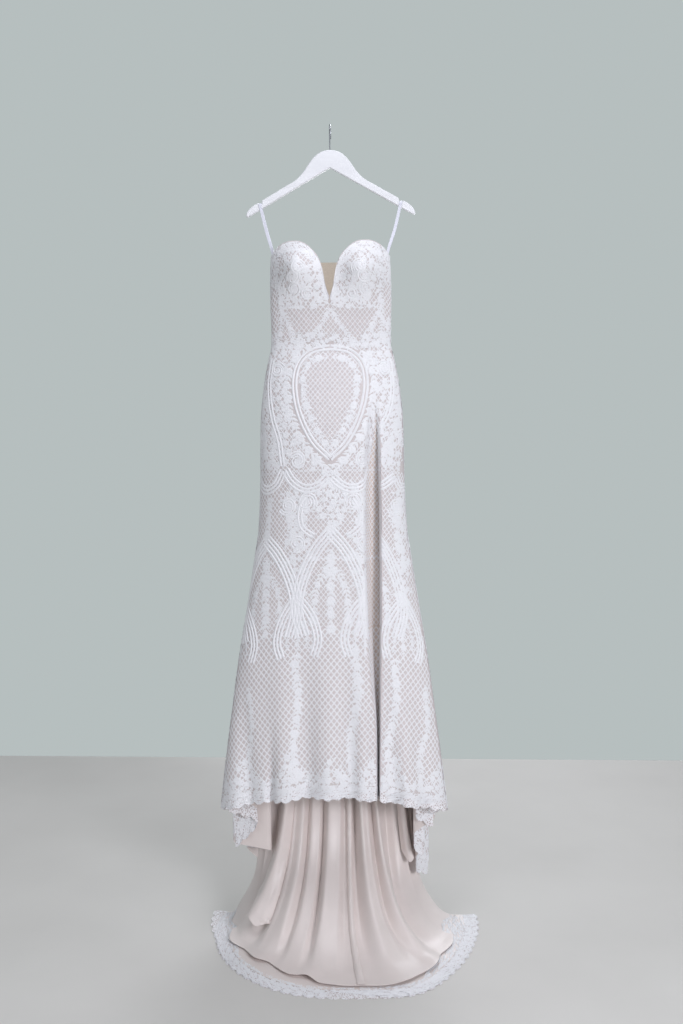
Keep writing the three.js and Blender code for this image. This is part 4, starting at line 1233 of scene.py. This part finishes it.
def build_bodice_front():
    left = -np.linspace(PRINCESS_X, CENTRE_GAP, CUP_COLUMNS)
    right = np.linspace(CENTRE_GAP, PRINCESS_X, CUP_COLUMNS)
    x = np.concatenate([left, right])
    top = NECKLINE.read("top", np.abs(x))
    under = NECKLINE.read("under", np.abs(x))
    whole_x = np.linspace(-PRINCESS_X, PRINCESS_X, BODICE_LACE_GRID)
    level = np.ones(BODICE_LACE_GRID)
    whole = bodice_front_grid(whole_x, BODICE_TOP * level, (WAIST + 0.2) * level, BODICE_LACE_GRID)
    full = Cloth(whole, LACE_WALL, BODICE_LACE_GRID // 2)
    halves = {"left": slice(0, CUP_COLUMNS), "right": slice(CUP_COLUMNS, 2 * CUP_COLUMNS)}
    for side, columns in halves.items():
        sign = SIGN[side]

        def on_cup(points, sign=sign):
            near = np.abs(points[:, 0])
            below_edge = points[:, 2] < NECKLINE.read("top", near) - 1.5
            above_seam = points[:, 2] > NECKLINE.read("under", near) - 6
            return below_edge & above_seam & (points[:, 0] * sign > 1)

        lace = add_lace(f"cup_lace_{side}", full, lambda relief: cup_lace(relief, sign), keep=on_cup)
        cup = bodice_front_grid(x[columns], top[columns], under[columns], BODICE_ROWS)
        cloth = Cloth(cup, CUP_WALL)
        add_sheet(cloth, f"cup_{side}", f"bodice_cup_{side}", BODICE)

    def on_midriff(points):
        return points[:, 2] < NECKLINE.read("under", np.abs(points[:, 0])) + 2

    lace = add_lace("midriff_lace", full, midriff_lace, keep=on_midriff)
    seam = np.full_like(x, WAIST + SEAM_GAP / 2)
    lower = bodice_front_grid(x, under - SEAM_GAP, seam, MIDRIFF_ROWS)
    cloth = Cloth(lower, LACE_WALL)
    add_sheet(cloth, "midriff", "bodice_midriff", BODICE)


def cup_lace(relief, sign):
    """Cords and leaves along the neckline, flowers below them, then scrolls over trellis."""
    x = np.arange(2.0, 130, 3)
    edge = NECKLINE.read("top", x)
    for drop, width in ((4, 4.2), (10, 3.2)):
        relief.cord(relief.cloth.flat_of(sign * x, edge - drop), width, 1.8)
    relief.garland(relief.cloth.flat_of(sign * x, edge - 24), 15, 9, 9)
    for at_x, at_z, radius, heading, hand in CUP_SCROLLS:
        centre = relief.cloth.flat_of(np.array([sign * at_x]), np.array([at_z]))[0]
        relief.scroll(centre, radius, math.radians(heading if sign > 0 else 180 - heading), sign * hand)
    relief.meadow((-190, 190), (0, 130), 19, cup_flowers, 0.44, 3, seed=61)
    relief.meadow((-190, 190), (74, 196), 30, None, 0.4, 5, seed=63)
    relief.lattice((-190, 190), (0, 196), FINE_CELL, None, 2.0, 1.0)


def build_princess_lace(side):
    """A garland over the seam between the cup and the side panel."""
    height = np.linspace(PRINCESS_TOP, WAIST + 4, 60)[None, :]
    seam = SIGN[side] * angle_of_x(PRINCESS_X, height)
    grid = bodice(seam + np.linspace(-8, 8, 13)[:, None], height)
    cloth = Cloth(grid + grid_normals(grid) * 0.5, LACE_WALL, 6)
    path = curve((1, 4), (-3, 80), (3, 160), (0, cloth.down[-1] - 6))
    add_lace(f"princess_lace_{side}", cloth, lambda relief: relief.garland(path, 13, 7, 8))


def midriff_lace(relief):
    relief.lattice((-190, 190), (90, 290), FINE_CELL, None, 1.9)
    relief.garland(curve((-150, 176), (-70, 168), (0, 160), (70, 168), (150, 176)), 11, 7, 8)
    for side in (-1, 1):
        relief.garland(curve((side * 132, 176), (side * 110, 214), (side * 96, 256)), 14, 8, 8)
        relief.garland(curve((side * 4, 178), (side * 20, 214), (side * 52, 250)), 12, 7, 8)


def build_bodice_side(side):
    for panel, first, last in (("side", SIDE_START_ANGLE, BACK_PANEL_ANGLE), ("back", BACK_PANEL_ANGLE, 180)):
        cloth = Cloth(bodice_side_grid(first, last, SIGN[side]), LACE_WALL)

        def draw(relief, width=cloth.across[-1, BODICE_ROWS // 3], seed=81 + len(panel)):
            relief.lattice((-10, width + 10), (0, 250), FINE_CELL)
            relief.meadow((-10, width + 10), (4, 92), 19, None, 0.46, 4, seed=seed)
            relief.meadow((-10, width + 10), (196, 250), 18, None, 0.46, 4, seed=seed + 1)

        on_panel = [add_lace(f"bodice_{panel}_lace_{side}", cloth, draw)]
        if panel == "side":
            on_panel.append(build_loop(side))
        name = f"bodice_{panel}_panel_{side}"
        add_sheet(cloth, name, f"bodice_{panel}_{side}", BODICE)


def build_lining():
    parts = {"left": (LINING_SEAM, -LINING_REACH), "right": (LINING_REACH, LINING_SEAM)}
    for side, (first, last) in parts.items():
        cloth = Cloth(lining_grid(first, last), LINING_WALL)
        add_sheet(cloth, f"lining_{side}", f"train_lining_{side}", LINING)
        flap = Cloth(flap_grid(side), LINING_WALL)
        flap.level_rows = FLAP_LEVEL_ROWS
        add_sheet(flap, f"lining_flap_{side}", None, LINING)
    tape = Cloth(lining_grid(LINING_SEAM + 0.014, LINING_SEAM - 0.014), LINING_WALL)
    row = np.arange(tape.grid.shape[1])
    pucker = 2.2 + 1.1 * np.sin(1.1 * row) * np.sin(0.37 * row + 1)
    before_end = ease(-row, 1 - len(row), 8 - len(row))
    bulge = 5 * np.sin(np.linspace(0, np.pi, len(tape.grid)))[:, None] * before_end
    raised = Cloth(tape.grid - tape.normals * (pucker + bulge)[..., None], LINING_WALL)
    add_sheet(raised, "lining_seam", "train_lining_seam", LINING)


def build_placket():
    height = np.linspace(PLACKET_TOP, PLACKET_END, 60)
    x = np.linspace(PLACKET_WIDTH / 2, -PLACKET_WIDTH / 2, 9)
    column = np.where(height > WAIST, bodice(180, height)[:, 1], fall(0, height)[:, 1])
    grid = points_of(x[:, None], column[None, :] + 1.8, height[None, :])
    cloth = Cloth(grid, 1.2)

    def draw(relief):
        relief.meadow((0, PLACKET_WIDTH), (4, 424), 13, None, 0.5, 3, seed=51)

    lace = add_lace("placket_lace", cloth, draw)
    add_sheet(cloth, "placket", "back_placket", PLACKET)


def build_loop(side):
    """A ribbon from the side of the bodice up over the hanger's notch and back down."""
    sign = SIGN[side]
    sew = tube(sign * LOOP_SEW_ANGLE, LOOP_SEW_HEIGHT)
    down_front = [
        (sew[0] - sign * 5.5, sew[1] - 5, sew[2] - 28),
        (sew[0] - sign * 5.5, sew[1] - 5, sew[2] + 2),
        (sign * (NOTCH_X - 16), -HANGER_FACE - 3, NOTCH_REST - 70),
        (sign * (NOTCH_X - 3), -HANGER_FACE, NOTCH_REST - 16),
        (sign * NOTCH_X, -HANGER_FACE, NOTCH_REST - 3),
        (sign * NOTCH_X, 2 - HANGER_FACE, NOTCH_REST),
    ]
    down_back = [(x, 2 * sew[1] - y if k < 2 else -y, z) for k, (x, y, z) in enumerate(down_front)]
    route = np.array(down_front + down_back[::-1])[:, None, :]
    twists = np.array([0.3, 0.3, 0.15, 0, 0, 0, 0, 0, 0, 0.15, 0.3, 0.3])
    places = np.linspace(0, len(route) - 1, 110)
    line = np.array([line_through(route, place)[0] for place in places])
    twist = np.interp(places, np.arange(len(twists)), twists)
    facing = np.where(places < (len(route) - 1) / 2, 1, -1)
    across = np.stack([1 - twist, sign * facing * twist, np.zeros_like(twist)], axis=1)
    along = unit(np.gradient(line, axis=0))
    across = unit(across - along * (across * along).sum(axis=1, keepdims=True))
    edge = np.linspace(-0.5, 0.5, 5)[:, None, None] * LOOP_WIDTH
    ribbon = Cloth(line[None] + across[None] * edge, 0.8)
    shell = ribbon.shell(f"loop_{side}", ribbon_satin, ribbon_satin)
    return place_piece(shell, "ribbon", f"hanging_loop_{side}")


for node, material in (("hanger_body", painted_wood), ("hanger_hook", steel)):
    for material_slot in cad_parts[node].material_slots:
        material_slot.material = material

build_bodice_front()
build_waist_lace()
build_front_skirt()
for name in ("left", "right"):
    build_princess_lace(name)
    build_bodice_side(name)
    build_side_skirt(name)
    build_back_skirt(name)
build_lining()
build_placket()


# Stage, in metres in the frame

FLOOR_EDGES = (-2.6, 2.6, -3.2, 1.4)


def add_floor():
    mesh = bpy.data.meshes.new("floor")
    z = -HOOK_SEAT[2] * MM - 0.0006
    left, right, front, back = FLOOR_EDGES
    corners = [(left, front, z), (right, front, z), (right, back, z), (left, back, z)]
    mesh.from_pydata(corners, [], [(0, 1, 2, 3)])
    floor = bpy.data.objects.new("floor", mesh)
    mesh.materials.append(cloth_material("floor", FLOOR, FLOOR_DARK, 0.8, 0.0, 3, 0.0))
    bpy.context.collection.objects.link(floor)


def add_light(name, location, target, size, power):
    light = bpy.data.lights.new(name, "AREA")
    light.shape = "DISK"
    light.size = size
    light.energy = power
    light.color = LIGHT
    obj = bpy.data.objects.new(name, light)
    bpy.context.collection.objects.link(obj)
    obj.location = location
    obj.rotation_euler = (Vector(location) - Vector(target)).to_track_quat("Z", "Y").to_euler()


def add_camera():
    right = (0.9987, 0.0502, -0.0085)
    up = (0.0043, 0.0844, 0.9964)
    back = (0.0508, -0.9952, 0.0841)
    place = (0.1697, -2.9117, -0.7566)
    data = bpy.data.cameras.new("camera")
    data.lens = 38.67
    data.sensor_width = 36
    camera = bpy.data.objects.new("camera", data)
    bpy.context.collection.objects.link(camera)
    camera.matrix_world = Matrix([*zip(right, up, back, place), (0, 0, 0, 1)])
    bpy.context.scene.camera = camera


def add_world():
    """A pale background behind the dress, dimmer towards the front so that folds keep their shade."""
    world = bpy.data.worlds.new("studio")
    world.use_nodes = True
    nodes = world.node_tree.nodes
    links = world.node_tree.links
    direction = nodes.new("ShaderNodeTexCoord")
    split = nodes.new("ShaderNodeSeparateXYZ")
    ramp = nodes.new("ShaderNodeValToRGB")
    set_ramp(ramp, [(0, WORLD_FRONT), (0.7, WORLD_BACK)])
    links.new(direction.outputs["Generated"], split.inputs["Vector"])
    links.new(split.outputs["Y"], ramp.inputs["Fac"])
    links.new(ramp.outputs["Color"], nodes["Background"].inputs["Color"])
    bpy.context.scene.world = world
    bpy.context.scene.view_settings.view_transform = "Standard"


add_floor()
add_light("key", (1.9, -2.9, -0.6), (0, 0, -1.2), 1.0, 60)
add_light("fill", (-2.2, -2.4, -0.6), (0, 0, -1.3), 1.8, 15)
add_light("top", (0.2, -0.8, 1.4), (0, -0.1, -1.0), 1.4, 24)
add_light("rear", (0.6, 2.6, 0.2), (0, 0, -1.0), 1.8, 40)
add_camera()
add_world()
